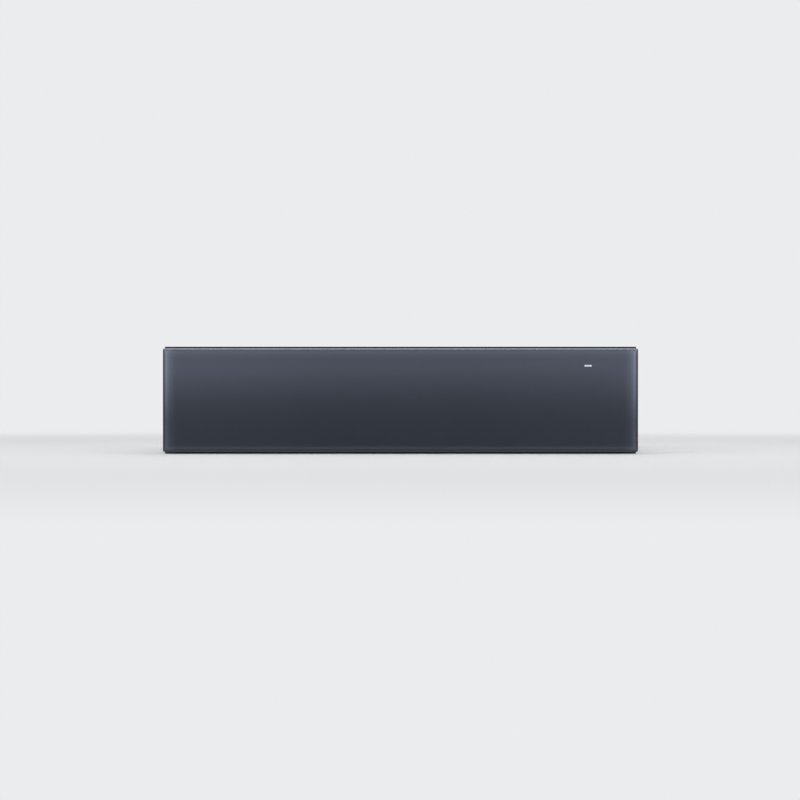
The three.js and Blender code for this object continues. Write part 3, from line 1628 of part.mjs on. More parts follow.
/** The bush in the rear panel that the supply cable comes out of. */
function cableGland() {
  const [insideY, outsideY] = [rearInnerY - glandInside, overallDepth / 2];
  const profile = [
    [glandBore, insideY],
    [glandNeck + 2, insideY + 2],
    [glandNeck + 2, rearInnerY - seat],
    [glandNeck, rearInnerY - seat],
    [glandNeck, rearFaceY + seat],
    [glandNeck + glandFlange, rearFaceY + seat],
    [glandNeck + glandFlange, outsideY - glandFlange / 2],
    [glandNeck, outsideY],
    [glandBore, outsideY],
    [glandBore, insideY],
  ];
  return turned(profile, 16).translate(glandX, 0, glandZ);
}

function terminalBlock() {
  const backY = rearInnerY - seat;
  const body = block(
    [terminalX - terminalWidth / 2, backY - terminalDepth, terminalZ - terminalHeight / 2],
    [terminalX + terminalWidth / 2, backY, terminalZ + terminalHeight / 2],
  );
  const topZ = terminalZ + terminalHeight / 2;
  const wells = row(3, terminalX, terminalPitch).map((x) =>
    rodZ(x, backY - terminalDepth / 2, wellRadius, topZ - wellDepth, topZ + 1, 10),
  );
  return cut(body, ...wells);
}

/** The flat supply cable, which unfolds as the drawer comes out: four runs between rear panel and drawer. */
function supplyRibbon() {
  const startX = terminalX - terminalWidth / 2 - seat;
  const nearX = startX - ribbonLead;
  const farX = nearX - ribbonRun;
  const firstY = rearInnerY - ribbonPitch;
  const lastY = firstY - 3 * ribbonPitch;
  const skin = roundedRoute(
    [
      [startX, firstY],
      [farX, firstY],
      [farX, firstY - ribbonPitch],
      [nearX, firstY - ribbonPitch],
      [nearX, firstY - 2 * ribbonPitch],
      [farX, firstY - 2 * ribbonPitch],
      [farX, lastY],
      [nearX - ribbonLead, lastY],
      [nearX - ribbonLead, chassisBackY + seat],
    ],
    ribbonBend,
    3,
  ).map(({ x, y }) => [x, y]);
  const outline = sheetOutline(skin, ribbonThickness);
  return alongZ(outline, terminalZ - ribbonHeight / 2, terminalZ + ribbonHeight / 2);
}

/** The harness from the fan's compartment along the chassis side to the control housing. */
function controlHarness() {
  const sideX = chassisInner - seat - harnessRadius;
  const endX = fasciaMidX + housingHalfX - harnessRadius;
  const z = tubRimZ - harnessDrop;
  const [bendY, endY] = [tubFrontY + harnessBend, housingBackY + seat];
  const bend = spread(6, 0, 1).map((t) => {
    const ease = THREE.MathUtils.smoothstep(t, 0, 1);
    return [
      THREE.MathUtils.lerp(sideX, endX, ease),
      THREE.MathUtils.lerp(bendY, endY, t),
      z - harnessDip * ease,
    ];
  });
  return bar([[sideX, chassisBackY - chassisWall - seat, z], ...bend], harnessRadius, 8);
}

function wiring() {
  return assembly(
    piece("cable_gland", cableGland(), material.blackPlastic),
    piece("terminal_block", terminalBlock(), material.greyPlastic),
    piece("supply_ribbon", supplyRibbon(), material.wire),
    piece("control_harness", controlHarness(), material.wire),
  );
}

// ---------------------------------------------------------------------------------------------------------

const warmingDrawer = assembly(
  casing(),
  runners(),
  drawerFront(),
  drawerBody(),
  controls(),
  heating(),
  fan(),
  latch(),
  wiring(),
);

export default warmingDrawer;
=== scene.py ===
"""Built-in warming drawer: its finishes, and the finely made pieces that stand for the plain CAD ones."""
import sys
import json
import logging
import math
from abc import ABC, abstractmethod
from collections.abc import Callable, Iterable, Iterator, Sequence
from contextlib import contextmanager
from dataclasses import dataclass, replace
from enum import Enum

import bmesh
import bpy
from bpy.types import Material, Mesh, Node, NodeSocket, Object, World
from mathutils import Euler, Matrix, Vector


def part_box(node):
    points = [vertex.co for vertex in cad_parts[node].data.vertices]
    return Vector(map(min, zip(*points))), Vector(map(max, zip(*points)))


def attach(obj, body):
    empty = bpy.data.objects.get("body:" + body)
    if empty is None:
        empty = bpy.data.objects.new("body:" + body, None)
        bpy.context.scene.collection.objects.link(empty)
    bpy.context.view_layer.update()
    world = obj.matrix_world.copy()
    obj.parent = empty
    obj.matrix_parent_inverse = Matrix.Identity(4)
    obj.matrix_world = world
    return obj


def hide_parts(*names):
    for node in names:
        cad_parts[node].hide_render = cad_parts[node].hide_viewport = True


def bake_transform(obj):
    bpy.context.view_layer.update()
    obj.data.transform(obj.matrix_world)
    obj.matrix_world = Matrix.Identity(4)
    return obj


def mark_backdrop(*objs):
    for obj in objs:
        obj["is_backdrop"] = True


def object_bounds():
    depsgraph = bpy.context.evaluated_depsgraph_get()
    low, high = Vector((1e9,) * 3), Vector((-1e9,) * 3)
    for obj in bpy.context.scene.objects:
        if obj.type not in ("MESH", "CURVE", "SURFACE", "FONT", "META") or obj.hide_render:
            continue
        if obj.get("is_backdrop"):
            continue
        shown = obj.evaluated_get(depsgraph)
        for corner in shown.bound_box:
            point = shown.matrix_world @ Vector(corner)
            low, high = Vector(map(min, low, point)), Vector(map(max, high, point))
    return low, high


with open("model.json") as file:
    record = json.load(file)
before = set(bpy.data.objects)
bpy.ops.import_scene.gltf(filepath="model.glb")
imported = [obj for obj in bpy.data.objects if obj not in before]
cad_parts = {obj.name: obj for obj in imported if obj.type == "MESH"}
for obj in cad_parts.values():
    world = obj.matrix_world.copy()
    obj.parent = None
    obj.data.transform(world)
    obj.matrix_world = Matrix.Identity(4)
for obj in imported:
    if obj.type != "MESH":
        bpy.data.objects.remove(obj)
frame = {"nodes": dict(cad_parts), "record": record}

LOG = logging.getLogger("warming_drawer")
MM = 0.001
APART = 0.05  # between the levels of a loft while they are bridged
MERGE = 0.002 * MM  # how close a CAD node's points lie that are one
TUBE_ROUNDING = 0.8 * MM  # to either side of each edge along a tube
SIGHT_HEIGHT = 67.7 * MM
Colour = tuple[float, float, float]
Place = tuple[float, float, float]
Stops = Sequence[tuple[float, float]]


# Finishes ----------------------------------------------------


class Grain(Enum):
    """How a finish varies over its surface: the stretch of its noise along x, y and z."""

    EVEN = (1.0, 1.0, 1.0)
    ALONG_X = (0.02, 1.0, 1.0)
    ALONG_Y = (1.0, 0.02, 1.0)


class Shader:
    """The nodes of a material or a world, and short ways to add to them."""

    def __init__(self, owner: Material | World) -> None:
        """Starts with the surface that Blender gives a new material or world.

        Args:
            owner: The material or world.
        """
        owner.use_nodes = True
        self.owner = owner
        self.tree = owner.node_tree
        self.output: Node = next(node for node in self.tree.nodes if node.type.startswith("OUTPUT"))
        self.surface: Node = next(node for node in self.tree.nodes if node != self.output)
        self.inputs = self.surface.inputs

    @classmethod
    def new(cls, name: str) -> "Shader":
        """Starts a material."""
        return cls(bpy.data.materials.new(name))

    def node(self, kind: str, inputs: dict[str | int, object] | None = None, **settings: object) -> Node:
        """Adds a node.

        Args:
            kind: Blender's name of the node type.
            inputs: Values, or sockets to link, by the name or number of the input.
            **settings: Properties of the node itself.

        Returns:
            The node.
        """
        made = self.tree.nodes.new(kind)
        for key, value in settings.items():
            setattr(made, key, value)
        for key, value in (inputs or {}).items():
            self.feed(made.inputs[key], value)
        return made

    def feed(self, socket: NodeSocket, value: object) -> None:
        """Links a socket to another one, or sets its value.

        Args:
            socket: The socket.
            value: The other socket, or the value.
        """
        if isinstance(value, NodeSocket):
            self.tree.links.new(value, socket)
        else:
            socket.default_value = value

    def place(self, scale: Place = (1.0, 1.0, 1.0)) -> NodeSocket:
        """The surface's own place on the object, in metres, stretched by a scale."""
        source = self.node("ShaderNodeTexCoord").outputs["Object"]
        return self.node("ShaderNodeMapping", {"Vector": source, "Scale": scale}).outputs["Vector"]

    def axis(self, name: str, middle: float = 0.0) -> NodeSocket:
        """The surface's own place along one axis, counted from a middle."""
        return self.sum(self.node("ShaderNodeSeparateXYZ", {"Vector": self.place()}).outputs[name], -middle)

    def beside(self, name: str, middle: float = 0.0) -> NodeSocket:
        """How far the surface lies to either side of a middle along one axis."""
        return self.node("ShaderNodeMath", {0: self.axis(name, middle)}, operation="ABSOLUTE").outputs[0]

    def noise(self, scale: float, stretch: Place = (1.0, 1.0, 1.0)) -> NodeSocket:
        """Cloudy noise with `scale` clouds to the metre."""
        inputs = {"Vector": self.place(stretch), "Scale": scale, "Detail": 3.0}
        return self.node("ShaderNodeTexNoise", inputs).outputs["Fac"]

    def remap(
        self,
        value: NodeSocket,
        low: float,
        high: float,
        start: float = 0.0,
        end: float = 1.0,
        smooth: bool = False,
    ) -> NodeSocket:
        """Spreads a value over another range.

        Args:
            value: What is spread.
            low: The value that gives the start of the range.
            high: The value that gives its end.
            start: The start of the range.
            end: The end of the range.
            smooth: Whether the ends are eased.

        Returns:
            The new value.
        """
        inputs = {"Value": value, "From Min": low, "From Max": high, "To Min": start, "To Max": end}
        kind = "SMOOTHSTEP" if smooth else "LINEAR"
        return self.node("ShaderNodeMapRange", inputs, interpolation_type=kind).outputs["Result"]

    def graph(self, value: NodeSocket, stops: Stops) -> NodeSocket:
        """Reads a graph that runs straight from stop to stop, and level beyond its ends.

        Args:
            value: Where the graph is read.
            stops: The graph's values and levels.

        Returns:
            The level.
        """
        level: NodeSocket | None = None
        for (low, start), (high, end) in zip(stops, stops[1:]):
            if level:
                level = self.sum(level, self.remap(value, low, high, 0.0, end - start))
            else:
                level = self.remap(value, low, high, start, end)
        return level

    def sum(self, first: NodeSocket, second: NodeSocket | float, kind: str = "ADD") -> NodeSocket:
        """Two values added, or joined by another operation."""
        return self.node("ShaderNodeMath", {0: first, 1: second}, operation=kind).outputs[0]

    def tones(self, factor: NodeSocket, dark: Colour, light: Colour) -> NodeSocket:
        """A colour between two, by a factor."""
        inputs = {"Factor": factor, "A": (*dark, 1.0), "B": (*light, 1.0)}
        return self.node("ShaderNodeMix", inputs, data_type="RGBA").outputs["Result"]

    def relief(self, height: NodeSocket, depth: float) -> None:
        """Gives the surface a relief `depth` metres deep."""
        bump = self.node("ShaderNodeBump", {"Height": height, "Distance": depth, "Strength": 1.0})
        self.feed(self.inputs["Normal"], bump.outputs["Normal"])

    def seen(self) -> NodeSocket:
        """Whether the ray comes from the camera, from gloss or through glass.

        Returns:
            1 where it does, or else 0.
        """
        rays = self.node("ShaderNodeLightPath").outputs
        mirrored = self.sum(rays["Is Camera Ray"], rays["Is Glossy Ray"], "MAXIMUM")
        return self.sum(mirrored, rays["Is Transmission Ray"], "MAXIMUM")

    def show(self, first: Node, second: Node | None = None, share: NodeSocket | None = None) -> None:
        """Shows one shader, or a mixture of two.

        Args:
            first: The shader.
            second: The shader that is mixed into it.
            share: How much of the second one shows.
        """
        if second:
            first = self.node("ShaderNodeMixShader", {0: share, 1: first.outputs[0], 2: second.outputs[0]})
        self.feed(self.output.inputs["Surface"], first.outputs[0])


def tone(colour: Colour, by: float) -> Colour:
    """The colour made lighter or darker by a share."""
    return tuple(min(channel * by, 1.0) for channel in colour)


@dataclass(frozen=True)
class Finish:
    """A finish with a fine grain: paint, moulded plastic, rubber or plated steel.

    Fields: the colour and gloss, how much the colour and the gloss vary, the size of the clouds and of the
    grain in metres, the depth of the grain, and the way that the grain runs.
    """

    name: str
    colour: Colour
    roughness: float
    metallic: float = 0.0
    specular: float = 0.5
    variation: float = 0.08
    gloss_variation: float = 0.06
    cloud: float = 0.05
    grain: float = 0.0006
    depth: float = 0.00002
    run: Grain = Grain.EVEN

    def material(self) -> Material:
        """The finish as a material, made once."""
        return bpy.data.materials.get(self.name) or self.make()

    def make(self) -> Material:
        """Makes the material.

        Returns:
            The material.
        """
        shader = Shader.new(self.name)
        shader.feed(shader.inputs["Metallic"], self.metallic)
        shader.feed(shader.inputs["Specular IOR Level"], self.specular)
        grain = shader.noise(1.0 / self.grain, self.run.value)
        mixed = shader.sum(shader.sum(shader.noise(1.0 / self.cloud), grain), 0.5, "MULTIPLY")
        level = shader.remap(mixed, 0.3, 0.7)
        self.vary(shader, level, level)
        shader.relief(grain, self.depth)
        self.enrich(shader)
        return shader.owner

    def vary(self, shader: Shader, tint: NodeSocket, gloss: NodeSocket) -> None:
        """Varies the colour and the gloss.

        Args:
            shader: The nodes of the material.
            tint: The level of the colour, from 0 to 1.
            gloss: The level of the roughness, from 0 to 1.
        """
        low, high = (tone(self.colour, 1 + sign * self.variation) for sign in (-1, 1))
        shader.feed(shader.inputs["Base Color"], shader.tones(tint, low, high))
        ends = (self.roughness - self.gloss_variation, self.roughness + self.gloss_variation)
        shader.feed(shader.inputs["Roughness"], shader.remap(gloss, 0.0, 1.0, *ends))

    def enrich(self, shader: Shader) -> None:
        """What a finish of a special kind adds."""


@dataclass(frozen=True)
class Spangle(Finish):
    """Zinc-coated sheet, with the crystals of the coating, whose size is in metres."""

    crystal: float = 0.0034

    def enrich(self, shader: Shader) -> None:
        """Gives each crystal its own tone and gloss.

        Args:
            shader: The nodes of the material.
        """
        swirl = {"Vector": shader.place(), "Scale": 0.7 / self.crystal, "Detail": 2.0}
        bent = shader.node("ShaderNodeTexNoise", swirl).outputs["Color"]
        shift = shader.node("ShaderNodeVectorMath", {0: bent, "Scale": 0.5 * self.crystal}, operation="SCALE")
        place = shader.node("ShaderNodeVectorMath", {0: shader.place(), 1: shift.outputs[0]}).outputs[0]
        cells = {"Vector": place, "Scale": 1.0 / self.crystal}
        crystals = shader.node("ShaderNodeTexVoronoi", cells).outputs["Color"]
        level = shader.node("ShaderNodeSeparateColor", {"Color": crystals}).outputs["Red"]
        self.vary(shader, level, level)


@dataclass(frozen=True)
class TonedGlass(Finish):
    """Glass toned through and enamelled behind, smooth as a mirror, with a cool tint to what it mirrors."""

    variation: float = 0.03
    gloss_variation: float = 0.004
    mirror_tint: Colour = (0.69, 0.75, 1.0)

    def make(self) -> Material:
        """Makes the material, with the faint waves of rolled glass.

        Returns:
            The material.
        """
        shader = Shader.new(self.name)
        self.vary(shader, shader.noise(6.0), shader.remap(shader.noise(14.0), 0.3, 0.7))
        shader.feed(shader.inputs["IOR"], 1.52)
        shader.feed(shader.inputs["Specular Tint"], (*self.mirror_tint, 1.0))
        return shader.owner


@dataclass(frozen=True)
class LightGuide(Finish):
    """A light guide lit by two lamps behind it, so that it is brighter towards both ends."""

    middle: float = 0.0
    reach: float = 0.005
    glow: Colour = (0.44, 0.46, 0.53)
    dip: float = 0.76

    def enrich(self, shader: Shader) -> None:
        """Lights it.

        Args:
            shader: The nodes of the material.
        """
        away = shader.beside("X", self.middle)
        ends = shader.remap(away, 0.2 * self.reach, 0.75 * self.reach, smooth=True)
        shader.feed(shader.inputs["Emission Color"], shader.tones(ends, tone(self.glow, self.dip), self.glow))
        shader.feed(shader.inputs["Emission Strength"], 1.0)


@dataclass(frozen=True)
class HeatTint(Finish):
    """A steel sheath that has been hot, straw to blue."""

    straw: Colour = (0.20, 0.13, 0.08)
    blue: Colour = (0.12, 0.13, 0.17)

    def enrich(self, shader: Shader) -> None:
        """Lays the tints over it."""
        clouds = shader.remap(shader.noise(18.0), 0.35, 0.65)
        shader.feed(shader.inputs["Base Color"], shader.tones(clouds, self.straw, self.blue))


@dataclass(frozen=True)
class Braid(Finish):
    """A woven glass sleeve, its threads `thread` metres wide."""

    thread: float = 0.0011
    weave_depth: float = 0.0002

    def enrich(self, shader: Shader) -> None:
        """Weaves it.

        Args:
            shader: The nodes of the material.
        """
        inputs = {"Vector": shader.place(), "Scale": 0.16 / self.thread, "Distortion": 0.4}
        waves = [
            shader.node("ShaderNodeTexWave", inputs, bands_direction=axis).outputs["Fac"] for axis in "XYZ"
        ]
        weave = shader.sum(shader.sum(waves[0], waves[1]), waves[2])
        shader.relief(weave, self.weave_depth)
        # The colour is painted darker in the hollows of the weave and lighter on its ridges: painted shade
        # over the thread's own colour.
        dark, light = tone(self.colour, 0.7), tone(self.colour, 1.08)
        shader.feed(shader.inputs["Base Color"], shader.tones(shader.remap(weave, 0.4, 2.4), dark, light))


class Slot(Enum):
    """The record's material slots, each with its finish."""

    dark_glass = TonedGlass("toned_glass", (0.0366, 0.0426, 0.0552), 0.016)
    black_steel = Finish(
        "black_paint", (0.014, 0.0145, 0.016), 0.55, specular=0.3, depth=0.00003, grain=0.0009
    )
    galvanised_steel = Spangle(
        "zinc_sheet", (0.48, 0.495, 0.51), 0.42, 0.88, variation=0.045, gloss_variation=0.03, depth=0.000005
    )
    stainless_steel = Finish(
        "brushed_stainless", (0.53, 0.525, 0.515), 0.35, 1.0, variation=0.03, depth=1.5e-6, run=Grain.ALONG_X
    )
    zinc_rail = Finish(
        "bright_zinc", (0.60, 0.615, 0.63), 0.3, 0.95, variation=0.04, depth=0.000002, run=Grain.ALONG_Y
    )
    bearing_steel = Finish(
        "polished_steel", (0.66, 0.665, 0.67), 0.14, 1.0, gloss_variation=0.05, depth=0.000002
    )
    black_silicone = Finish("black_silicone", (0.016, 0.0165, 0.018), 0.72, specular=0.3, depth=0.00004)
    black_plastic = Finish("black_plastic", (0.016, 0.0165, 0.018), 0.36, grain=0.0004)
    grey_plastic = Finish("grey_plastic", (0.28, 0.29, 0.30), 0.5, variation=0.05, grain=0.0005)
    light_guide = LightGuide("lit_light_guide", (0.28, 0.29, 0.32), 0.3)
    circuit_board = Finish(
        "circuit_board", (0.035, 0.13, 0.055), 0.4, variation=0.3, cloud=0.006, grain=0.002
    )
    heater_sheath = HeatTint("heater_sheath", (0.2, 0.18, 0.16), 0.42, 0.9)
    insulation = Finish("fibre_blanket", (0.66, 0.63, 0.55), 0.95, variation=0.12, depth=0.0006, grain=0.002)
    motor_steel = Finish("motor_enamel", (0.10, 0.105, 0.112), 0.45, 0.4)
    wire_sleeve = Braid("wire_sleeve", (0.62, 0.61, 0.57), 0.8)


WHITE_PRINT = Finish("white_print", (0.78, 0.79, 0.8), 0.45, variation=0.03, depth=0.000003)
BRASS = Finish("brass", (0.72, 0.53, 0.26), 0.3, 1.0)
SLOT_OF: dict[str, Slot] = {row["node"]: Slot[row["material_slot"]] for row in frame["record"]["subparts"]}
BODY_OF: dict[str, str] = {
    node: body for body, nodes in frame["record"]["behaviour"]["bodies"].items() for node in nodes
}

# The bench: what every piece is made with --------------------


class Facing(Enum):
    """The way that a piece's own up points once it is in place."""

    UP = (0.0, 0.0, 0.0)
    FRONT = (math.pi / 2, 0.0, 0.0)
    BACK = (-math.pi / 2, 0.0, 0.0)
    RIGHT = (0.0, math.pi / 2, 0.0)
    LEFT = (0.0, -math.pi / 2, 0.0)


@dataclass(frozen=True)
class Ring:
    """One level of a lofted form: a rectangle with round corners at height z, or a circle without them."""

    half_x: float
    half_y: float
    z: float
    corner: float | None = None
    y: float = 0.0


@dataclass(frozen=True)
class Extent:
    """The box that a CAD node fills."""

    low: Vector
    high: Vector

    @classmethod
    def of(cls, node: str) -> "Extent":
        """The box of a node."""
        return cls(*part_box(node))

    @property
    def size(self) -> Vector:
        """Its length along each axis."""
        return self.high - self.low

    @property
    def middle(self) -> Vector:
        """Its middle."""
        return (self.high + self.low) / 2

    def foot(self, facing: Facing) -> Place:
        """The middle of the side that a piece rises from when it faces up, to the front or to the back.

        Args:
            facing: The way that the piece faces.

        Returns:
            The place.
        """
        x, y, z = self.middle
        return {
            Facing.UP: (x, y, self.low.z),
            Facing.FRONT: (x, self.high.y, z),
            Facing.BACK: (x, self.low.y, z),
        }[facing]


def spread(count: int, first: float, last: float) -> list[float]:
    """Evenly spaced values from first to last."""
    return [first + (last - first) * i / max(count - 1, 1) for i in range(count)]


def deselect() -> None:
    """Selects nothing."""
    for piece in list(bpy.context.selected_objects):
        piece.select_set(False)


def only(piece: Object) -> None:
    """Selects one piece alone and makes it the active one.

    Args:
        piece: The piece.
    """
    deselect()
    bpy.context.view_layer.objects.active = piece
    piece.select_set(True)


@contextmanager
def editing(piece: Object, selected: bool = False) -> Iterator[Mesh]:
    """Edit mode on one piece, for as long as a with block lasts.

    Args:
        piece: The piece.
        selected: Whether all of it is selected at first, and not nothing.

    Yields:
        Its mesh.
    """
    only(piece)
    bpy.ops.object.mode_set(mode="EDIT")
    bpy.ops.mesh.select_all(action="SELECT" if selected else "DESELECT")
    yield piece.data
    bpy.ops.object.mode_set(mode="OBJECT")


def blank(name: str, mesh: Mesh | None = None) -> Object:
    """A piece with a mesh, or with nothing in it yet.

    Args:
        name: Its name.
        mesh: Its mesh, or none for an empty one.

    Returns:
        The piece.
    """
    piece = bpy.data.objects.new(name, mesh or bpy.data.meshes.new(name))
    bpy.context.collection.objects.link(piece)
    return piece


def pick(mesh: Mesh, wanted: Callable[[Sequence[int]], bool]) -> None:
    """Selects, in edit mode, only the points and edges that a test finds.

    Args:
        mesh: The mesh that is being edited.
        wanted: The test, which is given the numbers of a point or of an edge's two points.
    """
    bpy.ops.mesh.select_all(action="DESELECT")
    shape = bmesh.from_edit_mesh(mesh)
    for part in (*shape.verts, *shape.edges):
        points = [part] if isinstance(part, bmesh.types.BMVert) else part.verts
        if wanted([point.index for point in points]):
            part.select = True
    shape.select_flush_mode()
    bmesh.update_edit_mesh(mesh)


def smooth(piece: Object, angle: float = 35.0) -> Object:
    """A piece shaded smooth, apart from edges sharper than an angle in degrees.

    Args:
        piece: The piece.
        angle: The angle.

    Returns:
        The piece.
    """
    only(piece)
    bpy.ops.object.shade_smooth_by_angle(angle=math.radians(angle))
    return piece


def loft(name: str, rings: Sequence[Ring], steps: int = 6, sides: int = 48, closed: bool = False) -> Object:
    """A form through a row of levels, bridged while they stand well apart and then set to their heights.

    Args:
        name: The piece's name.
        rings: The levels, all of them rounded rectangles or all circles.
        steps: Edges in each round corner.
        sides: Edges in each circle.
        closed: Whether the last level joins the first, as round a bore, instead of both being filled.

    Returns:
        The piece.
    """
    piece = blank(name)
    count = sides if rings[0].corner is None else 4 * (steps + 1)
    ends = () if closed else (0, len(rings) - 1)
    with editing(piece) as mesh:
        for level, ring in enumerate(rings):
            add_level(ring, level, steps, sides, filled=level in ends)
        spans = [(level, level + 1) for level in range(len(rings) - 1)]
        if closed:
            spans.append((len(rings) - 1, 0))
        for span in spans:
            pick(mesh, lambda points: len(points) == 2 and on_one_level(points, count, span))
            bpy.ops.mesh.bridge_edge_loops()
        for level, ring in enumerate(rings):
            pick(mesh, lambda points: on_one_level(points, count, (level,)))
            bpy.ops.transform.translate(value=(0.0, 0.0, ring.z - level * APART))
        bpy.ops.mesh.select_all(action="SELECT")
        bpy.ops.mesh.normals_make_consistent(inside=False)
    return outward(piece)


def add_level(ring: Ring, level: int, steps: int, sides: int, filled: bool) -> None:
    """Adds one level's outline in edit mode, at the height where it is bridged.

    Args:
        ring: The level.
        level: Its number, from 0.
        steps: Edges in each round corner.
        sides: Edges in a circle.
        filled: Whether it is a face, and not only an outline.
    """
    at = (0.0, ring.y, level * APART)
    if ring.corner is None:
        bpy.ops.mesh.primitive_circle_add(vertices=sides, radius=1.0, location=at)
        if filled:
            bpy.ops.mesh.edge_face_add()
    else:
        bpy.ops.mesh.primitive_plane_add(size=2.0, location=at)
    bpy.ops.transform.resize(value=(ring.half_x, ring.half_y, 1.0), center_override=at)
    if ring.corner is not None:
        bpy.ops.mesh.bevel(offset=ring.corner, segments=steps, affect="VERTICES", profile=0.5)
        if not filled:
            bpy.ops.mesh.delete(type="ONLY_FACE")


def on_one_level(points: Sequence[int], count: int, levels: tuple[int, ...]) -> bool:
    """Whether points all lie on one level, out of some levels of `count` points each."""
    found = {point // count for point in points}
    return len(found) == 1 and found <= set(levels)


def outward(piece: Object) -> Object:
    """A closed piece with its faces turned outwards.

    Args:
        piece: The piece.

    Returns:
        The piece.
    """
    shape = bmesh.new()
    shape.from_mesh(piece.data)
    inverted = shape.calc_volume(signed=True) < 0
    shape.free()
    if inverted:
        piece.data.flip_normals()
    return piece


def turn(name: str, profile: Stops, sides: int = 48, closed: bool = False) -> Object:
    """A turned form, from its profile of radii and heights."""
    return loft(name, [Ring(radius, radius, z) for radius, z in profile], sides=sides, closed=closed)


def block(name: str, low: Place, high: Place) -> Object:
    """A block, to cut with or to shape further.

    Args:
        name: The piece's name.
        low: Its lowest corner.
        high: Its highest corner.

    Returns:
        The piece.
    """
    sides = [(b - a) / 2 for a, b in zip(low, high)]
    middle = tuple((a + b) / 2 for a, b in zip(low, high))
    piece = blank(name)
    with editing(piece):
        bpy.ops.mesh.primitive_cube_add(size=2.0, location=middle)
        bpy.ops.transform.resize(value=sides, center_override=middle)
    return piece


def settle(piece: Object, at: Place, facing: Facing = Facing.UP) -> Object:
    """Turns a piece the way it faces, moves it to its place, and puts both in its mesh.

    Args:
        piece: The piece.
        at: Its place.
        facing: The way that it faces there.

    Returns:
        The piece.
    """
    piece.data.transform(Matrix.Translation(at) @ Euler(facing.value).to_matrix().to_4x4())
    piece.data.update()
    return piece


def copies(master: Object, name: str, places: Iterable[Place], facing: Facing = Facing.UP) -> Object:
    """Copies of a piece, joined under one name. The first piece is used up.

    Args:
        master: The first piece.
        name: The name of the copies.
        places: Where each of them sits.
        facing: The way that they face.

    Returns:
        The copies as one piece.
    """
    made = [settle(blank(name, master.data.copy()), place, facing) for place in places]
    drop(master)
    return joined(made, name)


def joined(pieces: Sequence[Object], name: str) -> Object:
    """The pieces as one, under a name.

    Args:
        pieces: The pieces.
        name: The name.

    Returns:
        The first piece, which holds them all.
    """
    only(pieces[0])
    for piece in pieces[1:]:
        piece.select_set(True)
    if len(pieces) > 1:
        bpy.ops.object.join()
    pieces[0].name = name
    return pieces[0]


def drop(piece: Object) -> None:
    """Deletes a piece that has served its purpose."""
    bpy.data.objects.remove(piece, do_unlink=True)


def with_modifier(piece: Object, kind: str, **settings: object) -> Object:
    """A piece with a modifier's result made its own.

    Args:
        piece: The piece.
        kind: Blender's name of the modifier type.
        **settings: The modifier's settings.

    Returns:
        The piece.
    """
    only(piece)
    modifier = piece.modifiers.new(kind.lower(), kind)
    for key, value in settings.items():
        setattr(modifier, key, value)
    bpy.ops.object.modifier_apply(modifier=modifier.name)
    return piece


def round_over(piece: Object, width: float, steps: int, angle: float) -> Object:
    """A piece with its edges rounded over where they are sharper than an angle in degrees."""
    sharper = {"limit_method": "ANGLE", "angle_limit": math.radians(angle)}
    return with_modifier(piece, "BEVEL", width=width, segments=steps, **sharper)


def carve(piece: Object, *cutters: Object) -> Object:
    """A piece with the cutters taken out of it, before it has a material.

    Args:
        piece: The piece.
        *cutters: What is taken out of it, and used up.

    Returns:
        The piece.
    """
    for cutter in cutters:
        with_modifier(piece, "BOOLEAN", object=cutter, operation="DIFFERENCE", solver="MANIFOLD")
        drop(cutter)
    piece.data.materials.clear()
    return piece


def mirrored(piece: Object, name: str) -> Object:
    """The mirror image of a piece, on the other side of the middle.

    Args:
        piece: The piece, which stays.
        name: The name of the image.

    Returns:
        The image.
    """
    twin = blank(name, piece.data.copy())
    twin.data.transform(Matrix.Scale(-1.0, 4, (1.0, 0.0, 0.0)))
    twin.data.flip_normals()
    return twin


def merged(node: str, ending: str) -> Object:
    """A copy of a CAD node, its points merged and each of its flats made one face.

    Args:
        node: The node.
        ending: What is added to its name.

    Returns:
        The copy.
    """
    piece = blank(f"{node}_{ending}", frame["nodes"][node].data.copy())
    piece.data.materials.clear()
    with editing(piece, selected=True):
        bpy.ops.mesh.remove_doubles(threshold=MERGE)
        bpy.ops.mesh.dissolve_limited(angle_limit=math.radians(1.0))
    return piece


def formed(node: str, radius: float, cutter: Object | None = None) -> Object:
    """A copy of a CAD node, finished as formed sheet and moulded pieces are.

    Args:
        node: The node.
        radius: What its edges are rounded to, in millimetres.
        cutter: What is taken out of it first.

    Returns:
        The copy.
    """
    piece = carve(merged(node, "formed"), *([cutter] if cutter else []))
    smooth(round_over(piece, radius * MM, 2, 50))
    return with_modifier(piece, "WEIGHTED_NORMAL", keep_sharp=True)


def dress(piece: Object, body: str, slot: Slot, finish: Finish | None = None) -> Object:
    """Gives a finished piece its material and the body that it rides on.

    Args:
        piece: The piece.
        body: The CAD body that it moves with.
        slot: The record's material slot that its finish belongs to.
        finish: Its finish, where that isn't the slot's own.

    Returns:
        The piece.
    """
    if not piece.data.materials:
        piece.data.materials.append((finish or slot.value).material())
    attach(piece, body)
    LOG.info("%s rides on %s", piece.name, body)
    return piece


def stand_in(piece: Object, node: str, finish: Finish | None = None) -> Object:
    """Dresses a piece as a CAD node is, with the node's body and slot, and has it stand for the node.

    Args:
        piece: The piece.
        node: The node.
        finish: Its finish, where that isn't the slot's own.

    Returns:
        The piece.
    """
    dress(piece, BODY_OF[node], SLOT_OF[node], finish)
    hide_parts(node)
    return piece


def seated(piece: Object, node: str, facing: Facing = Facing.UP, angle: float = 35.0) -> Object:
    """Shades a piece, sets it in a CAD node's place and has it stand for the node.

    Args:
        piece: The piece, drawn upright round the origin with its foot at height 0.
        node: The node.
        facing: The way that it faces once it is in place.
        angle: The sharpest edge that is shaded smooth, in degrees.

    Returns:
        The piece.
    """
    return stand_in(settle(smooth(piece, angle), Extent.of(node).foot(facing), facing), node)


def reform(radius: float, *nodes: str) -> list[Object]:
    """Stands a copy with edges rounded to a radius in millimetres for each CAD node."""
    return [stand_in(formed(node, radius), node) for node in nodes]


